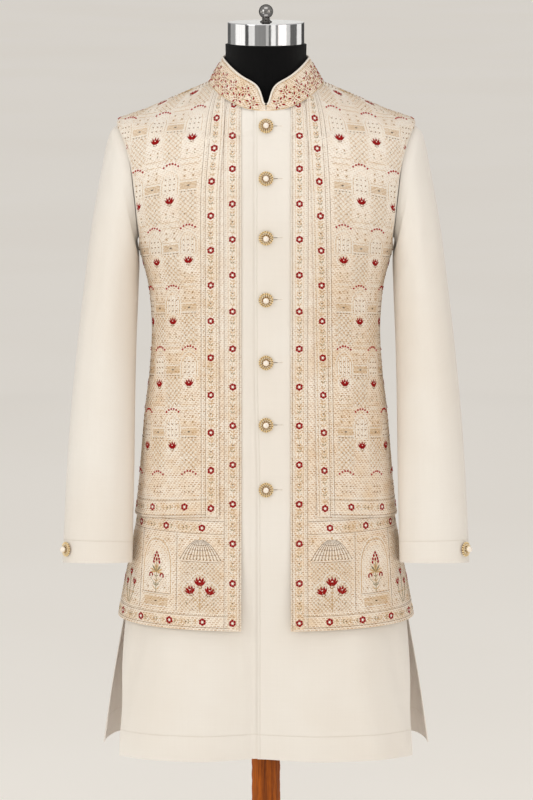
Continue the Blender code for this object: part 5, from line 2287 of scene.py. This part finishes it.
    def _long_work(self, pattern: Pattern, back: bool, top: float) -> None:
        """The long layer's embroidery: its borders, and the garden panel under the short layer's hem.

        Args:
            pattern: where it is drawn.
            back: whether it is the back panel.
            top: how far up the panel reaches.
        """
        if not back:
            self._upright_border(pattern, self.long_border, top)
        start = -self.reach if back else 27.0
        hem_rails = ((-10.2, 1.4, CREAM), (-8.0, 0.8, DARK), (8.2, 1.2, CREAM),
                     (9.8, 0.8, DARK), (13.4, 1.3, CREAM))
        run = (start if back else 20.0, self.reach)
        self._level_border(pattern, run, 13.0, 54.5, -272.5 if back else 60.8, hem_rails, 11.6)
        upper = ((-13.4, 1.2, CREAM), (-10.0, 1.0, CREAM), (-8.6, 0.8, DARK),
                 (9.6, 1.0, CREAM), (11.2, 0.8, DARK), (13.5, 1.2, CREAM))
        self._level_border(pattern, (start, self.reach), 159.0, 62.0, -279.0 if back else 62.0, upper, 11.4)
        if not back:
            pattern.rails((0, 1.4), (24, 1.4), ((0.0, 1.2, CREAM),), across=True)
        dome, arch, bud = self._dome_bay, self._arch_bay, self._bud_bay
        bays = [(-255.0, bud), (-204.0, dome), (-138.0, arch), (-69.0, dome), (0.0, arch), (69.0, dome),
                (138.0, arch), (204.0, dome), (255.0, bud)]
        if not back:
            bays = [(65.0, dome), (141.0, arch), (205.0, bud), (264.0, dome)]
        for s, draw in bays:
            draw(pattern, s)
        for (a, _), (b, _) in zip(bays, bays[1:]):
            middle = (a + b) / 2 + (0 if back else 1.5)
            posts = ((-2.4, 1.1, CREAM), (-0.8, 0.8, DARK), (2.2, 1.1, CREAM))
            pattern.rails((middle, 28), (middle, 150), posts, across=False)
        pattern.scatter((start, self.reach), (28.0, 150.0), 6.0)

    def _dome_bay(self, pattern: Pattern, s: float) -> None:
        """A ribbed dome over three tulips on a branching stem, on a lattice.

        Args:
            pattern: where it is drawn.
            s: millimetres across.
        """
        work = pattern.work
        for k in range(-12, 13):
            path = [(s + 2.75 * k * x**0.52, 141.5 - 31.5 * x)
                    for x in (0.04, 0.12, 0.25, 0.42, 0.62, 0.81, 1.0)]
            work.line(path, *((1.9, CREAM, 0.25) if k % 2 else (0.9, DARK, 0.42)))
            if not k % 2:
                work.bead(path[-1], 1.0, SHADE, 0.8)
        for y in (0.22, 0.46, 0.72):
            bow = [(s + 33 * y**0.52 * x, 141.5 - 31.5 * y - 3 * (1 - x * x)) for x in np.linspace(-1, 1, 9)]
            work.line(bow, 0.8, DARK, 0.45)
        work.petal((s, 140), (s, 146), 3.0, GOLD, 0.6)
        pattern.rails((s - 33, 106), (s + 33, 106), ((-1.6, 1.2, CREAM), (0.0, 0.8, DARK),
                                                     (1.6, 1.2, CREAM)), across=True)
        for sign in (-1, 1):
            pattern.trellis(s + sign * 16.5, 29.0, 32.0, 76.0, 3.1, 0.7)
            pattern.crosslet(s + sign * 30, 138, 3.0)
            work.bead((s + sign * 22, 42), 1.1, SAGE, 0.9)
            work.line([(s, 38), (s + sign * 6, 46), (s + sign * 13, 54)], 0.9, GOLD, 0.5)
            pattern.leaf_pair(s + sign * 6, 46, 90 - sign * 35, 4.5)
            pattern.tulip(s + sign * 16.0, 62.0, 1.4, sign * 20.0)
        work.line([(s, 28), (s, 68)], 1.2, GOLD, 0.6)
        pattern.leaf_pair(s, 36, 90, 5.0)
        pattern.leaf_pair(s, 57, 90, 4.5)
        pattern.tulip(s, 75.5, 1.5)
        pattern.arc(s, 92.0, 22.0, 4.0, 5, SAGE, 0.7)

    def _arch_bay(self, pattern: Pattern, s: float) -> None:
        """A pointed double arch over a flowering plant on a plinth.

        Args:
            pattern: where it is drawn.
            s: millimetres across.
        """
        work = pattern.work
        for width, top, thread, thick in ((29.0, 140.0, CREAM, 1.6), (26.8, 137.0, GOLD, 1.2),
                                          (24.6, 133.8, CREAM, 1.4)):
            for sign in (-1, 1):
                path = [(s + sign * width, 54.0), (s + sign * width, 98.0)]
                path += [(s + sign * width * math.cos(a) ** 0.8, 98 + (top - 98) * math.sin(a) ** 1.15)
                         for a in np.linspace(0.12, math.pi / 2, 9)]
                work.line(path, thick, thread, 0.45)
        for x in np.arange(-21.6, 21.7, 2.7):
            work.line([(s + x, 56), (s + x, 96 + 31 * math.sqrt(1 - (x / 24) ** 2))], 1.8, CREAM, 0.22)
        work.line([(s, 54), (s, 100)], 1.3, SAGE, 0.6)
        for k, t in enumerate((58, 64, 71, 78)):
            pattern.leaf_pair(s, t, 90, 8.5 - k, SAGE if k % 2 else GOLD)
        for sign in (-1, 1):
            work.line([(s, 66), (s + sign * 7, 71), (s + sign * 11, 76)], 0.9, SAGE, 0.5)
            hook = [(s + sign * (10.5 + 3.2 * math.cos(a)), 80 + 3.4 * math.sin(a))
                    for a in np.linspace(-0.9, 3.6, 7)]
            work.line(hook, 2.9, RED, 1.1)
            for k in range(4):
                a = math.radians(90 + sign * (14 + 28 * k))
                work.petal((s, 85), swing(s, 86, 13, a), 4.2, SAGE if k == 1 else GOLD, 0.6, 0.65)
            pattern.crosslet(s + sign * 22, 138, 3.0)
            pattern.crosslet(s + sign * 16, 62, 2.4)
        for x, y in ((-6.4, 98), (6.4, 98), (-5.2, 103), (0, 102), (5.2, 103), (-3.2, 108), (3.2, 108),
                     (0, 112.5)):
            work.petal((s + x * 0.8, y), (s + x, y + 5.6), 4.8, RED, 1.0, 0.5)
            work.bead((s + x * 0.5, y - 1.2), 0.9, GOLD, 0.8)
        pattern.bar(s, 40.5, 44.0, 12.6)
        pattern.rails((s - 27, 51.5), (s + 27, 51.5), ((0.0, 1.2, CREAM), (1.6, 0.8, DARK)), True)

    def _bud_bay(self, pattern: Pattern, s: float) -> None:
        """Three upright buds on stems under a lattice.

        Args:
            pattern: where it is drawn.
            s: millimetres across.
        """
        work = pattern.work
        for off, t in ((0.0, 78.0), (-13.0, 64.0), (13.0, 61.0)):
            work.line([(s + off * 0.15, 30), (s + off * 0.8, 45), (s + off, t - 6)], 0.9, SAGE, 0.5)
            pattern.tulip(s + off, t, 1.0, 0.0, 3)
            pattern.leaf_pair(s + off * 0.8, 46, 90, 5.0)
        pattern.trellis(s, 96.0, 46.0, 46.0, 3.6, 0.8)
        pattern.crosslet(s - 20, 36, 3.0)
        pattern.crosslet(s + 20, 36, 3.0)

    def _armhole_cord(self, work: Needlework, layer: Layer, word: str) -> None:
        """A cream cord along the armhole, in from its edge.

        Args:
            work: the needlework.
            layer: its layer.
            word: left, right or back.
        """
        cloth = work.cloth
        rows, columns = cloth.room.shape
        across = cloth.across_start + np.arange(columns) * cloth.across_step
        for inset, width, thread in ((0.0022, 1.3, CREAM), (0.0046, 0.6, GOLD)):
            for flank in ((1, -1) if word == "back" else (1,)):
                path = []
                for i in range(rows):
                    z = cloth.points[i, :, 2].mean()
                    if not JACKET_ARMHOLE.underarm - 0.004 < z < SHOULDER_Z + 0.01:
                        continue
                    row = cloth.room[i] if flank > 0 else cloth.room[i][::-1]
                    inside = np.flatnonzero(row > inset)
                    if len(inside):
                        s = across[inside[-1]] if flank > 0 else across[::-1][inside[-1]]
                        path.append((float(s) / MM, i * cloth.up_step / MM))
                if len(path) > 2:
                    work.line(path, width, thread, 0.4)


# The collar


# How much of its height the collar has gained, by the distance from centre front.
NOTCH = Profile([(0.0, 0.0), (0.0022, 0.012), (0.0040, 0.045), (0.0056, 0.13), (0.0076, 0.34), (0.0100, 0.58),
                 (0.0131, 0.78), (0.0180, 0.925), (0.0240, 0.985), (0.0290, 1.0), (0.2000, 1.0)])


@dataclass(frozen=True)
class Band:
    """The outer face of the collar's top edge."""

    half_width: float = 0.0685
    front: float = 0.0750
    back: float = 0.0690
    side_z: float = 1.5620
    front_drop: float = 0.0365
    back_rise: float = 0.012


@dataclass
class Collar:
    """The embroidered standing collar, open in a rounded notch, with piping on its edge."""

    surface: BodySurface
    finishes: Wardrobe
    band: Band = Band()
    wall: float = 0.0030
    foot_z: tuple[float, float] = (1.5215, 1.5240)
    meet_share: float = 0.20
    open_seat: float = 0.0005
    piping_radius: float = 0.0016
    front_lift: float = 0.0036
    rows: int = 12

    def make(self) -> Object:
        """Makes the collar, its needlework and its piping.

        Returns:
            The collar's cloth.
        """
        near = np.concatenate([[0.25, 1.5, 2.8], np.linspace(4, 22, 28), np.linspace(24, 90, 30),
                               np.linspace(93, 177, 30)])
        angles = np.concatenate([near, [180.0], 360 - near[::-1]])
        share = self.share(angles)[None] * np.linspace(0, 1, self.rows)[:, None]
        outer, inner = self.face(angles, share, 0.0), self.face(angles, share, self.wall)
        across = lengths_along(outer[self.rows // 2][None])[0]
        up = np.linalg.norm(outer - outer[:1], axis=-1)
        maker = MeshMaker()
        add_shell(maker, outer, inner, spread(across, up))
        cloth = maker.build("collar_cloth", [self.finishes.ground], SHARP)
        dress(cloth, "embroidered_cloth", "collar")
        edge = ((outer[-1] + inner[-1]) / 2)[1:-1]
        level = edge * (1, 1, 0)
        line = edge + unit(np.cross(level, headings(edge))) * (self.piping_radius + 0.0002)
        piping = MeshMaker()
        add_tube(piping, line, self.piping_radius, 12, level)
        cord = piping.build("collar_piping_cord", [self.finishes.piping])
        dress(cord, "ivory_cloth", "collar_piping")
        work = self._needlework()
        return cloth

    def share(self, angle: Array) -> Array:
        """How high the collar stands at an angle, as a share of its full height."""
        gained = NOTCH(np.abs(self.band.half_width * np.sin(np.radians(angle))))
        share = self.meet_share + (1 - self.meet_share) * gained
        return np.where(np.abs(turned_from_front(angle)) > 90, 1.0, share)

    def face(self, angle: Array, share: Array, inwards: float) -> Array:
        """Places on a face of the collar.

        Args:
            angle: (columns,) degrees round from centre front.
            share: (rows, columns) heights as shares of the full height.
            inwards: 0 on the outside, the wall on the inside.

        Returns:
            (rows, columns, 3) places.
        """
        turned, band = turned_from_front(angle), self.band
        s, c = np.sin(np.radians(angle)), np.cos(np.radians(angle))
        depth = np.where(c > 0, band.front, band.back) - inwards
        shift = np.where(c > 0, -band.front_drop, band.back_rise)
        top = np.stack([(band.half_width - inwards) * s, -depth * c, band.side_z + shift * c * c], -1)
        lift = self.front_lift * np.exp(-((turned / 24) ** 2))
        ring = np.minimum(self.foot_z[1 if inwards else 0] + lift, NECK_Z)
        place = self.surface.point(ring, turned, False)
        x = np.where(np.abs(turned) < 90, np.abs(place[..., 0]), 1.0)
        on_jacket = WALLS[Layer.SHORT].outer * NECK_PRESS + 0.0006
        stand_off = self.open_seat + (on_jacket - self.open_seat) * np.clip((x - 0.026) / 0.010, 0.0, 1.0)
        foot = place + self.surface.normal(ring, turned, False) * stand_off[..., None]
        return foot + (top - foot) * share[..., None]

    def _needlework(self) -> Object:
        """The collar's crossed sprigs and cords."""
        angles = np.concatenate([np.linspace(0.25, 179, 160), np.linspace(181, 359.75, 160)])
        foot, middle, top = self.face(angles, np.array([[0.0], [0.5], [1.0]]), 0.0)
        height, run = np.linalg.norm(top - foot, axis=-1), lengths_along(middle)
        step = 0.002
        even = np.arange(0, run[-1], step)
        angle = np.interp(even, run, angles)
        tall = np.interp(even, run, height)
        ups = np.arange(0, 0.046, step)
        points = self.face(angle, ups[:, None] / tall[None], 0.0)
        outward, turned = outward_of(points, points * (1, 1, 0))
        limit = self.share(angle) * tall
        room = np.minimum(np.minimum(ups[:, None], limit[None] - ups[:, None]),
                          np.minimum(even, even[-1] - even)[None] + 0.0015)
        work = Needlework(ClothMap(points, outward, room, 0.0, step, step, turned))
        pattern = Pattern(work, 91)
        total = even[-1] / MM
        work.line([(0, 1.3), (total, 1.3)], 1.5, GOLD, 0.5)
        work.line([(0, 3.0), (total, 3.0)], 0.7, CREAM, 0.35)
        for inset, width, thread in ((1.5, 0.9, GOLD), (3.0, 0.6, CREAM)):
            path = [(float(s) / MM, float(h) / MM - inset) for s, h in zip(even[::2], limit[::2])]
            work.line(path, width, thread, 0.35)
        for t, start in ((11.0, 19.0), (26.0, 31.5)):
            for s in np.arange(start, total / 2, 25.0):
                self._star(pattern, float(s), t)
                self._star(pattern, float(total - s), t)
                for x in (float(s) + 12.5, total - float(s) - 12.5):
                    for k, thread in enumerate((SAGE, CREAM, GOLD)):
                        work.bead((x + 2.2 * (k - 1), t + (1.8, -2.4, 1.2)[k]), 1.15, thread, 0.9)
        pattern.scatter((2, total - 2), (4, 36), 4.2)
        return dress(work.build("embroidery_collar", self.finishes.threads), "embroidered_cloth")

    def _star(self, pattern: Pattern, s: float, t: float) -> None:
        """Red drops in a star, with sage leaves between them.

        Args:
            pattern: where it is drawn.
            s: millimetres across.
            t: millimetres up.
        """
        work = pattern.work
        turn = float(pattern.chance.uniform(-12, 12))
        for k in range(8):
            a = math.radians(45 * k + 22.5 + turn)
            near, far, wide = (4.9, 10.6, 3.5) if k % 2 else (2.3, 5.6, 2.3)
            work.petal(swing(s, t, near, a), swing(s, t, far, a), wide, RED, 1.0, 0.55)
            if k % 2:
                b = a + math.radians(24)
                thread = SAGE if k % 4 == 1 else GOLD
                work.petal(swing(s, t, 6.4, b), swing(s, t, 10.4, b), 2.2, thread, 0.7, 0.55)
        work.bead((s, t), 1.0, SAGE, 1.0)


# Buttons


@dataclass
class Buttons:
    """The gilt buttons: a pearl in a ring of paste stones and a roped, scalloped rim."""

    surface: BodySurface
    finishes: Wardrobe
    kurta: Kurta
    radius: float = 0.0115
    pearl_radius: float = 0.0046
    pearl_lift: float = 0.0034
    off_cloth: float = 0.0004
    cuff_share: float = 0.979
    cuff_turn: float = 30.0
    stones: int = 14
    scallops: int = 17
    scallop_radius: float = 0.00135
    claws: int = 11
    stone: tuple = ((0.00128, 0.0), (0.00132, 0.0004), (0.00095, 0.00105), (0.0005, 0.0012))
    claw: tuple = ((0.0060, 0.0036), (0.0054, 0.0050), (0.0049, 0.0066), (0.0044, 0.0082))
    outline: tuple = ((0.0066, 0.0), (0.0095, 0.0006), (0.0106, 0.0014), (0.0107, 0.0020), (0.0100, 0.0024),
                      (0.0092, 0.0025), (0.0084, 0.0026), (0.0078, 0.0031), (0.0056, 0.0034),
                      (0.0048, 0.0040), (0.0040, 0.0036))

    def make(self) -> None:
        """Makes the settings and pearls, seated on the placket and the cuffs."""
        setting, pearl = self._setting_mesh(), self._pearl_mesh()
        for number, (point, outward) in enumerate(self._places(), start=1):
            turn = Matrix.Rotation(0.37 * number, 4, "Z")
            seat = Matrix.Translation(Vector(point + outward * self.off_cloth))
            seat = seat @ Vector(outward).to_track_quat("Z", "Y").to_matrix().to_4x4() @ turn
            for word, mesh, slot in (("button", setting, "gilt"), ("pearl", pearl, "pearl")):
                piece = place(mesh, f"{word}_piece_{number}")
                piece.matrix_world = seat
                dress(piece, slot, f"{word}_{number}")

    def _places(self) -> list[tuple[Array, Array]]:
        """Each button's place and outward direction."""
        rings = np.linspace(KURTA_HEM_Z, NECK_Z, 900)
        line = self.surface.on(Layer.KURTA, rings, 0.0, 0.0)
        found = []
        for z in BUTTON_HEIGHTS:
            ring = np.interp(z, line[:, 2], rings)
            place = self.surface.on(Layer.KURTA, ring, 0.0, 0.0)
            below, above = self.surface.on(Layer.KURTA, ring + np.array([-0.004, 0.004]), 0.0, 0.0)
            step = above - below
            found.append((place, unit(np.array([0.0, -step[2], step[1]]))))
        for side in (1, -1):
            def at(share: float, turn: float) -> Array:
                """The place at a share of the way and a turn."""
                return self.kurta.sleeve_grid(side, 0.0, np.array([[share]]), np.array([[turn]]))[0, 0]
            place = at(self.cuff_share, self.cuff_turn)
            across = at(self.cuff_share, self.cuff_turn + 6) - at(self.cuff_share, self.cuff_turn - 6)
            along = at(self.cuff_share + 0.01, self.cuff_turn) - at(self.cuff_share - 0.01, self.cuff_turn)
            outward = unit(np.cross(across, along))
            found.append((place, outward if outward[1] < 0 else -outward))
        return found

    def _setting_mesh(self) -> bpy.types.Mesh:
        """The gilt setting with its stones."""
        maker = MeshMaker()
        add_turned(maker, self.outline, 48, 2)
        turn = circle(144)
        out = spread(np.cos(turn), np.sin(turn), 0.0)
        line = out * 0.0088 + (0.0, 0.0, 0.0031)
        add_tube(maker, line, 0.0005 * (1 + 0.24 * np.sin(turn * 34)), 6, out, closed=True)
        # the plate round the pearl, in the darker gilt: painted shade between the stones
        add_turned(maker, ((0.0061, 0.0033), (0.0058, 0.0037), (0.0046, 0.0038)), 32, 2)
        small = self.scallop_radius
        middle = ball(small, 0.0, [math.pi * i / 6 for i in range(1, 6)])
        bead = [(small * 0.02, -small), *middle, (small * 0.02, small)]
        for a in circle(self.scallops):
            add_turned(maker, bead, 9, 0, Matrix.Translation((*swing(0.0, 0.0, 0.0104, a), 0.0024)))
        for a in circle(self.stones):
            at = Matrix.Translation((*swing(0.0, 0.0, 0.0072, a), 0.0033)) @ Matrix.Rotation(a, 4, "Z")
            add_turned(maker, self.stone, 8, 1, at)
        for a in circle(self.claws):
            line = np.array([(*swing(0.0, 0.0, reach, a), z) for reach, z in self.claw])
            out = np.tile((*swing(0.0, 0.0, 1.0, a), 0.0), (4, 1))
            add_tube(maker, line, np.array([0.0006, 0.0005, 0.00045, 0.0003]), 6, out)
        finishes = [self.finishes.gilt, self.finishes.stone, self.finishes.recess_painted_shade]
        return maker.mesh("setting_pattern", finishes, 32)

    def _pearl_mesh(self) -> bpy.types.Mesh:
        """A pearl that is a little out of round."""
        maker = MeshMaker()
        middle = self.pearl_lift + self.pearl_radius
        outline = ball(self.pearl_radius, middle, np.linspace(0.06, math.pi - 0.02, 22))
        add_turned(maker, outline, 32,
                   shape=lambda h, t: 1 + 0.012 * np.sin(2 * t + 600 * h) + 0.006 * np.sin(3 * t))
        return maker.mesh("pearl_pattern", [self.finishes.pearl])


# The dress form and its stand


@dataclass
class DressForm:
    """The limbless form: a jersey-covered trunk and neck, a chrome cap and its finial."""

    finishes: Wardrobe
    middle_y: float = -0.002
    cap_radius: float = 0.0600
    cap_z: tuple[float, float] = (1.5849, 1.6190)
    clear: float = 0.0032  # the trunk lies this far in under the cloth
    facets: int = 96
    # Height, half width, front and back depth, the drop of the ring at the front, squareness.
    rings: tuple = (
        (0.800, 0.176, 0.104, 0.100, 0.000, 2.2), (0.812, 0.184, 0.112, 0.108, 0.000, 2.2),
        (0.900, 0.184, 0.112, 0.112, 0.000, 2.2), (0.980, 0.178, 0.105, 0.106, 0.000, 2.2),
        (1.075, 0.164, 0.098, 0.090, 0.000, 2.2), (1.140, 0.158, 0.096, 0.083, 0.000, 2.2),
        (1.200, 0.163, 0.099, 0.085, 0.000, 2.2), (1.285, 0.178, 0.108, 0.099, 0.000, 2.3),
        (1.373, 0.196, 0.111, 0.106, 0.002, 2.3), (1.420, 0.205, 0.106, 0.105, 0.010, 2.2),
        (1.448, 0.214, 0.0995, 0.1010, 0.018, 2.1), (1.464, 0.208, 0.0970, 0.0975, 0.0235, 2.0),
        (1.4810, 0.176, 0.0940, 0.0922, 0.0295, 2.0), (1.4986, 0.136, 0.0910, 0.0822, 0.0350, 2.0),
        (1.5153, 0.097, 0.0872, 0.0716, 0.0382, 2.0), (1.5245, 0.0735, 0.0818, 0.0622, 0.0360, 2.0),
        (1.5350, 0.0650, 0.0710, 0.0595, 0.0270, 2.0), (1.553, 0.0625, 0.0660, 0.0585, 0.012, 2.0),
        (1.5845, 0.0630, 0.0650, 0.0610, 0.000, 2.0),
    )

    def make(self) -> None:
        """Makes the trunk, the cap and the finial."""
        self._trunk()
        self._cap()
        self._finial()

    def _trunk(self) -> None:
        """The covered trunk and neck."""
        heights = np.concatenate([np.linspace(0.800, 1.44, 60), np.linspace(1.45, 1.5845, 46)])
        tables = [Profile([(row[0], row[k]) for row in self.rings])(heights)[:, None] for k in range(1, 6)]
        half_width, front, back, drop, power = tables
        inset = self.clear * (1 - smooth_step(heights, 1.500, 1.530))[:, None]
        turn = circle(self.facets)
        s, c = np.sin(turn), np.cos(turn)
        depth = np.where(c > 0, front, back) - inset
        x = (half_width - inset) * np.sign(s) * np.abs(s) ** (2 / power)
        y = -depth * np.sign(c) * np.abs(c) ** (2 / power)
        z = heights[:, None] - np.where(c > 0, drop * c * c, 0.0) - inset * 0.6
        z[0] = heights[0]
        maker = MeshMaker()
        ends = np.array([[0, 0, heights[0]], [0, 0, heights[-1]]])
        add_rings(maker, spread(x, y, z), ends, 0, spread(turn * 0.065, heights[:, None]))
        dress(maker.build("form_trunk_cover", [self.finishes.jersey], SHARP), "black_jersey", "form_trunk")

    def _cap(self) -> None:
        """The chrome cap, straight-sided under its flat top."""
        r, (low, high) = self.cap_radius, self.cap_z
        side = r - 0.0006
        outline = [(side - 0.0010, low), (side - 0.0003, low + 0.0003), (side, low + 0.0008),
                   (side, low + 0.0014),
                   (side, high - 0.0016), (side, high - 0.0010), (side - 0.0003, high - 0.0004),
                   (side - 0.0010, high), (side - 0.0020, high), (0.012, high)]
        at = Matrix.Translation((0, self.middle_y, 0))
        turned_piece("neck_cap_cover", self.finishes.chrome, 38, "chrome", "neck_cap", outline, 128, at)

    def _finial(self) -> None:
        """The ball on its waisted stem."""
        outline = [(0.0090, 0.0001), (0.0095, 0.0005), (0.0091, 0.0010), (0.0077, 0.0018), (0.0063, 0.0028),
                   (0.0057, 0.0038), (0.0063, 0.0043), (0.0065, 0.0050), (0.0062, 0.0056), (0.0054, 0.0062)]
        outline += ball(0.0111, 0.0162, np.linspace(0.52, math.pi - 0.02, 30))
        at = Matrix.Translation((0, self.middle_y, self.cap_z[1]))
        # the finial takes the darkened chrome, whose colour paints in dark reflections
        turned_piece("finial_ball", self.finishes.chrome_painted_dark_reflection, 40, "chrome", "finial", outline, 48, at)


@dataclass
class Stand:
    """The carved post and its turned round base."""

    finishes: Wardrobe
    post_radius: float = 0.0230
    post_z: tuple[float, float] = (0.0345, 0.7996)
    base: tuple = (
        (0.2190, 0.0000), (0.2225, 0.0010), (0.2246, 0.0038), (0.2250, 0.0075), (0.2250, 0.0130),
        (0.2240, 0.0168), (0.2218, 0.0196), (0.2190, 0.0214), (0.2120, 0.0220), (0.2098, 0.0217),
        (0.2090, 0.0208), (0.2082, 0.0217), (0.2060, 0.0222), (0.1500, 0.0231), (0.0900, 0.0241),
        (0.0560, 0.0246), (0.0500, 0.0250), (0.0478, 0.0262), (0.0465, 0.0282), (0.0440, 0.0292),
        (0.0400, 0.0296), (0.0378, 0.0306), (0.0368, 0.0324), (0.0340, 0.0342))

    def make(self) -> None:
        """Makes the post and the base."""
        self._post()
        turned_piece("base_turned", self.finishes.turned, 60, "carved_wood", "base", self.base, 144)

    def _post(self) -> None:
        """The post, its bark-like carving cut in as short upright gouges."""
        chance = np.random.default_rng(5)
        waves = [(int(chance.integers(5, 30)), float(chance.uniform(20, 160)), float(chance.uniform(0, 6.3)),
                  float(chance.uniform(0.3, 1.0))) for _ in range(26)]

        def carving(height: Array, turn: Array) -> Array:
            """How much the carving scales the radius."""
            total = sum(w * np.sin(n * turn + 1.7 * np.sin(f * height + p) + p) for n, f, p, w in waves)
            cut = np.clip(total / len(waves) ** 0.5, -1.2, 0.9)
            ends = smooth_step(height, self.post_z[0], self.post_z[0] + 0.006)
            return 1 - 0.035 + 0.030 * cut * ends + 0.004 * np.sin(9 * height + turn)

        outline = [(self.post_radius, z) for z in np.linspace(*self.post_z, 280)]
        turned_piece("post_carved", self.finishes.carved, 60, "carved_wood", "post", outline, 84,
                     shape=carving)


# The studio


# What an upright polished cylinder shows from side to side: the right edge of each streak as a share of
# its half width, and how light it is.
REFLECTED = [(-0.999, 0.60), (-0.92, 0.08), (-0.79, 0.30), (-0.54, 1.0), (-0.45, 0.06), (-0.29, 0.75),
             (0.0, 0.22), (0.07, 0.5), (0.13, 0.10), (0.255, 0.90), (0.42, 0.25), (0.63, 0.60),
             (0.80, 0.10), (0.92, 0.80), (0.999, 0.04), (1.0, 0.60)]


@dataclass(frozen=True)
class SoftBox:
    """A soft square light that looks at the garment."""

    name: str
    place: tuple[float, float, float]
    aim: tuple[float, float, float]
    size: tuple[float, float]
    power: float
    colour: tuple[float, float, float]
    polish_sees_it: bool = True

    def make(self) -> None:
        """Puts it in the scene."""
        light = bpy.data.lights.new(self.name, "AREA")
        light.shape = "RECTANGLE"
        light.size, light.size_y = self.size
        light.energy = self.power
        light.color = self.colour
        lamp = place(light, self.name)
        lamp.location = self.place
        lamp.rotation_euler = (Vector(self.aim) - Vector(self.place)).to_track_quat("-Z", "Y").to_euler()
        lamp.visible_camera = False
        lamp.visible_glossy = self.polish_sees_it


@dataclass
class Studio:
    """A pale floor, soft lights, an even surround and the camera."""

    camera_place: tuple[float, float, float] = (0.0008, -6.6, 2.036)
    camera_dip: float = 8.7
    lens: float = 191.25
    surround: tuple = (0.90, 0.88, 0.86, 1.0)
    surround_strength: float = 0.64
    card_reach: float = 6.9
    card_height: float = 2.3
    boxes: tuple[SoftBox, ...] = (
        SoftBox("key_box", (-3.6, -3.4, 2.9), (0, 0, 1.1), (2.4, 2.8), 53.0, (0.99, 1.0, 0.98)),
        SoftBox("fill_box", (3.8, -3.2, 2.3), (0, 0, 1.05), (2.4, 2.8), 25.0, (1.0, 0.925, 0.87)),
        SoftBox("top_box", (0.0, -1.4, 4.2), (0, 0, 1.0), (2.6, 2.0), 24.0, (1.0, 0.98, 0.96)),
        SoftBox("front_box", (0.0, -6.6, 2.9), (0, 0, 1.0), (3.4, 1.8), 48.0, (1.0, 0.98, 0.96), False),
    )

    def make(self) -> None:
        """Sets it up."""
        self._floor()
        self._reflectors()
        for box in self.boxes:
            box.make()
        world = bpy.data.worlds.new("surround")
        world.use_nodes = True
        ground = world.node_tree.nodes["Background"]
        ground.inputs["Color"].default_value = self.surround
        ground.inputs["Strength"].default_value = self.surround_strength
        bpy.context.scene.world = world
        bpy.context.scene.view_settings.view_transform = "Standard"
        camera = bpy.data.cameras.new("camera")
        camera.lens = self.lens
        camera.clip_end = 100.0
        holder = place(camera, "camera")
        holder.location = self.camera_place
        holder.rotation_euler = (math.pi / 2 - math.radians(self.camera_dip), 0.0, 0.0)
        bpy.context.scene.camera = holder

    def _floor(self) -> None:
        """The plain floor."""
        b = Paint("pale_floor", Specular_IOR_Level=0.2, Emission_Strength=0.20)
        drift = Effect.use(b, "Tone Drift", Tone=tone(240, 236, 229), Second_Tone=tone(236, 231, 223),
                           Scale=0.6, Amount=0.5)
        marks = Effect.use(b, "Handling", Scale=3.0, Amount=1.0)
        b.into(Base_Color=drift["Color"], Emission_Color=drift["Color"], Roughness=0.75 + marks["Mask"] * 0.1)
        maker = MeshMaker()
        x, y = np.meshgrid(*[np.linspace(-45, 45, 10)] * 2)
        maker.add(spread(x, y, -0.0002), [grid_faces(10, 10)])
        maker.build("floor", [b.material])

    def _reflectors(self) -> None:
        """Upright dark and light cards that only polished things see, for the streaks in the chrome."""
        edges, tones = zip(*REFLECTED)
        turns = 2 * np.arcsin([-1.0, *edges])
        shades, materials = sorted(set(tones)), []
        for light in shades:
            b = Paint(f"card_{int(light * 100)}", Emission_Strength=1.0)
            drift = Effect.use(b, "Tone Drift", Tone=(light, light, light * 0.97, 1.0),
                               Second_Tone=(light * 0.8, light * 0.78, light * 0.75, 1.0), Scale=2.0,
                               Amount=0.7)
            b.into(Emission_Color=drift["Color"], Base_Color=b.mix(0.5, drift["Color"], BLACK))
            materials.append(b.material)
        maker = MeshMaker()
        for start, end, light in zip(turns, turns[1:], tones):
            turn = np.linspace(start, end, 6)
            low = spread(self.card_reach * np.sin(turn), -self.card_reach * np.cos(turn), 0.01)
            points = np.stack([low, low + (0.0, 0.0, self.card_height)])
            maker.add(points, [grid_faces(2, 6, flip=True)], shades.index(light))
        ring = maker.build("reflectors", materials)
        for kind in ("camera", "diffuse", "transmission", "shadow", "volume_scatter"):
            setattr(ring, f"visible_{kind}", False)


def write_sizes() -> None:
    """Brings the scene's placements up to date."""
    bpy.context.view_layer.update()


def main() -> None:
    """Builds the set, piece by piece, and the studio."""
    logging.basicConfig(level=logging.INFO, format="%(name)s: %(message)s")
    surface = BodySurface()
    finishes = Wardrobe()
    kurta = Kurta(surface, finishes)
    kurta.make()
    Buttonholes(surface, finishes).make()
    Jacket(surface, finishes).make()
    Collar(surface, finishes).make()
    Buttons(surface, finishes, kurta).make()
    DressForm(finishes).make()
    Stand(finishes).make()
    Studio().make()
    write_sizes()


if __name__ == "__main__":
    main()
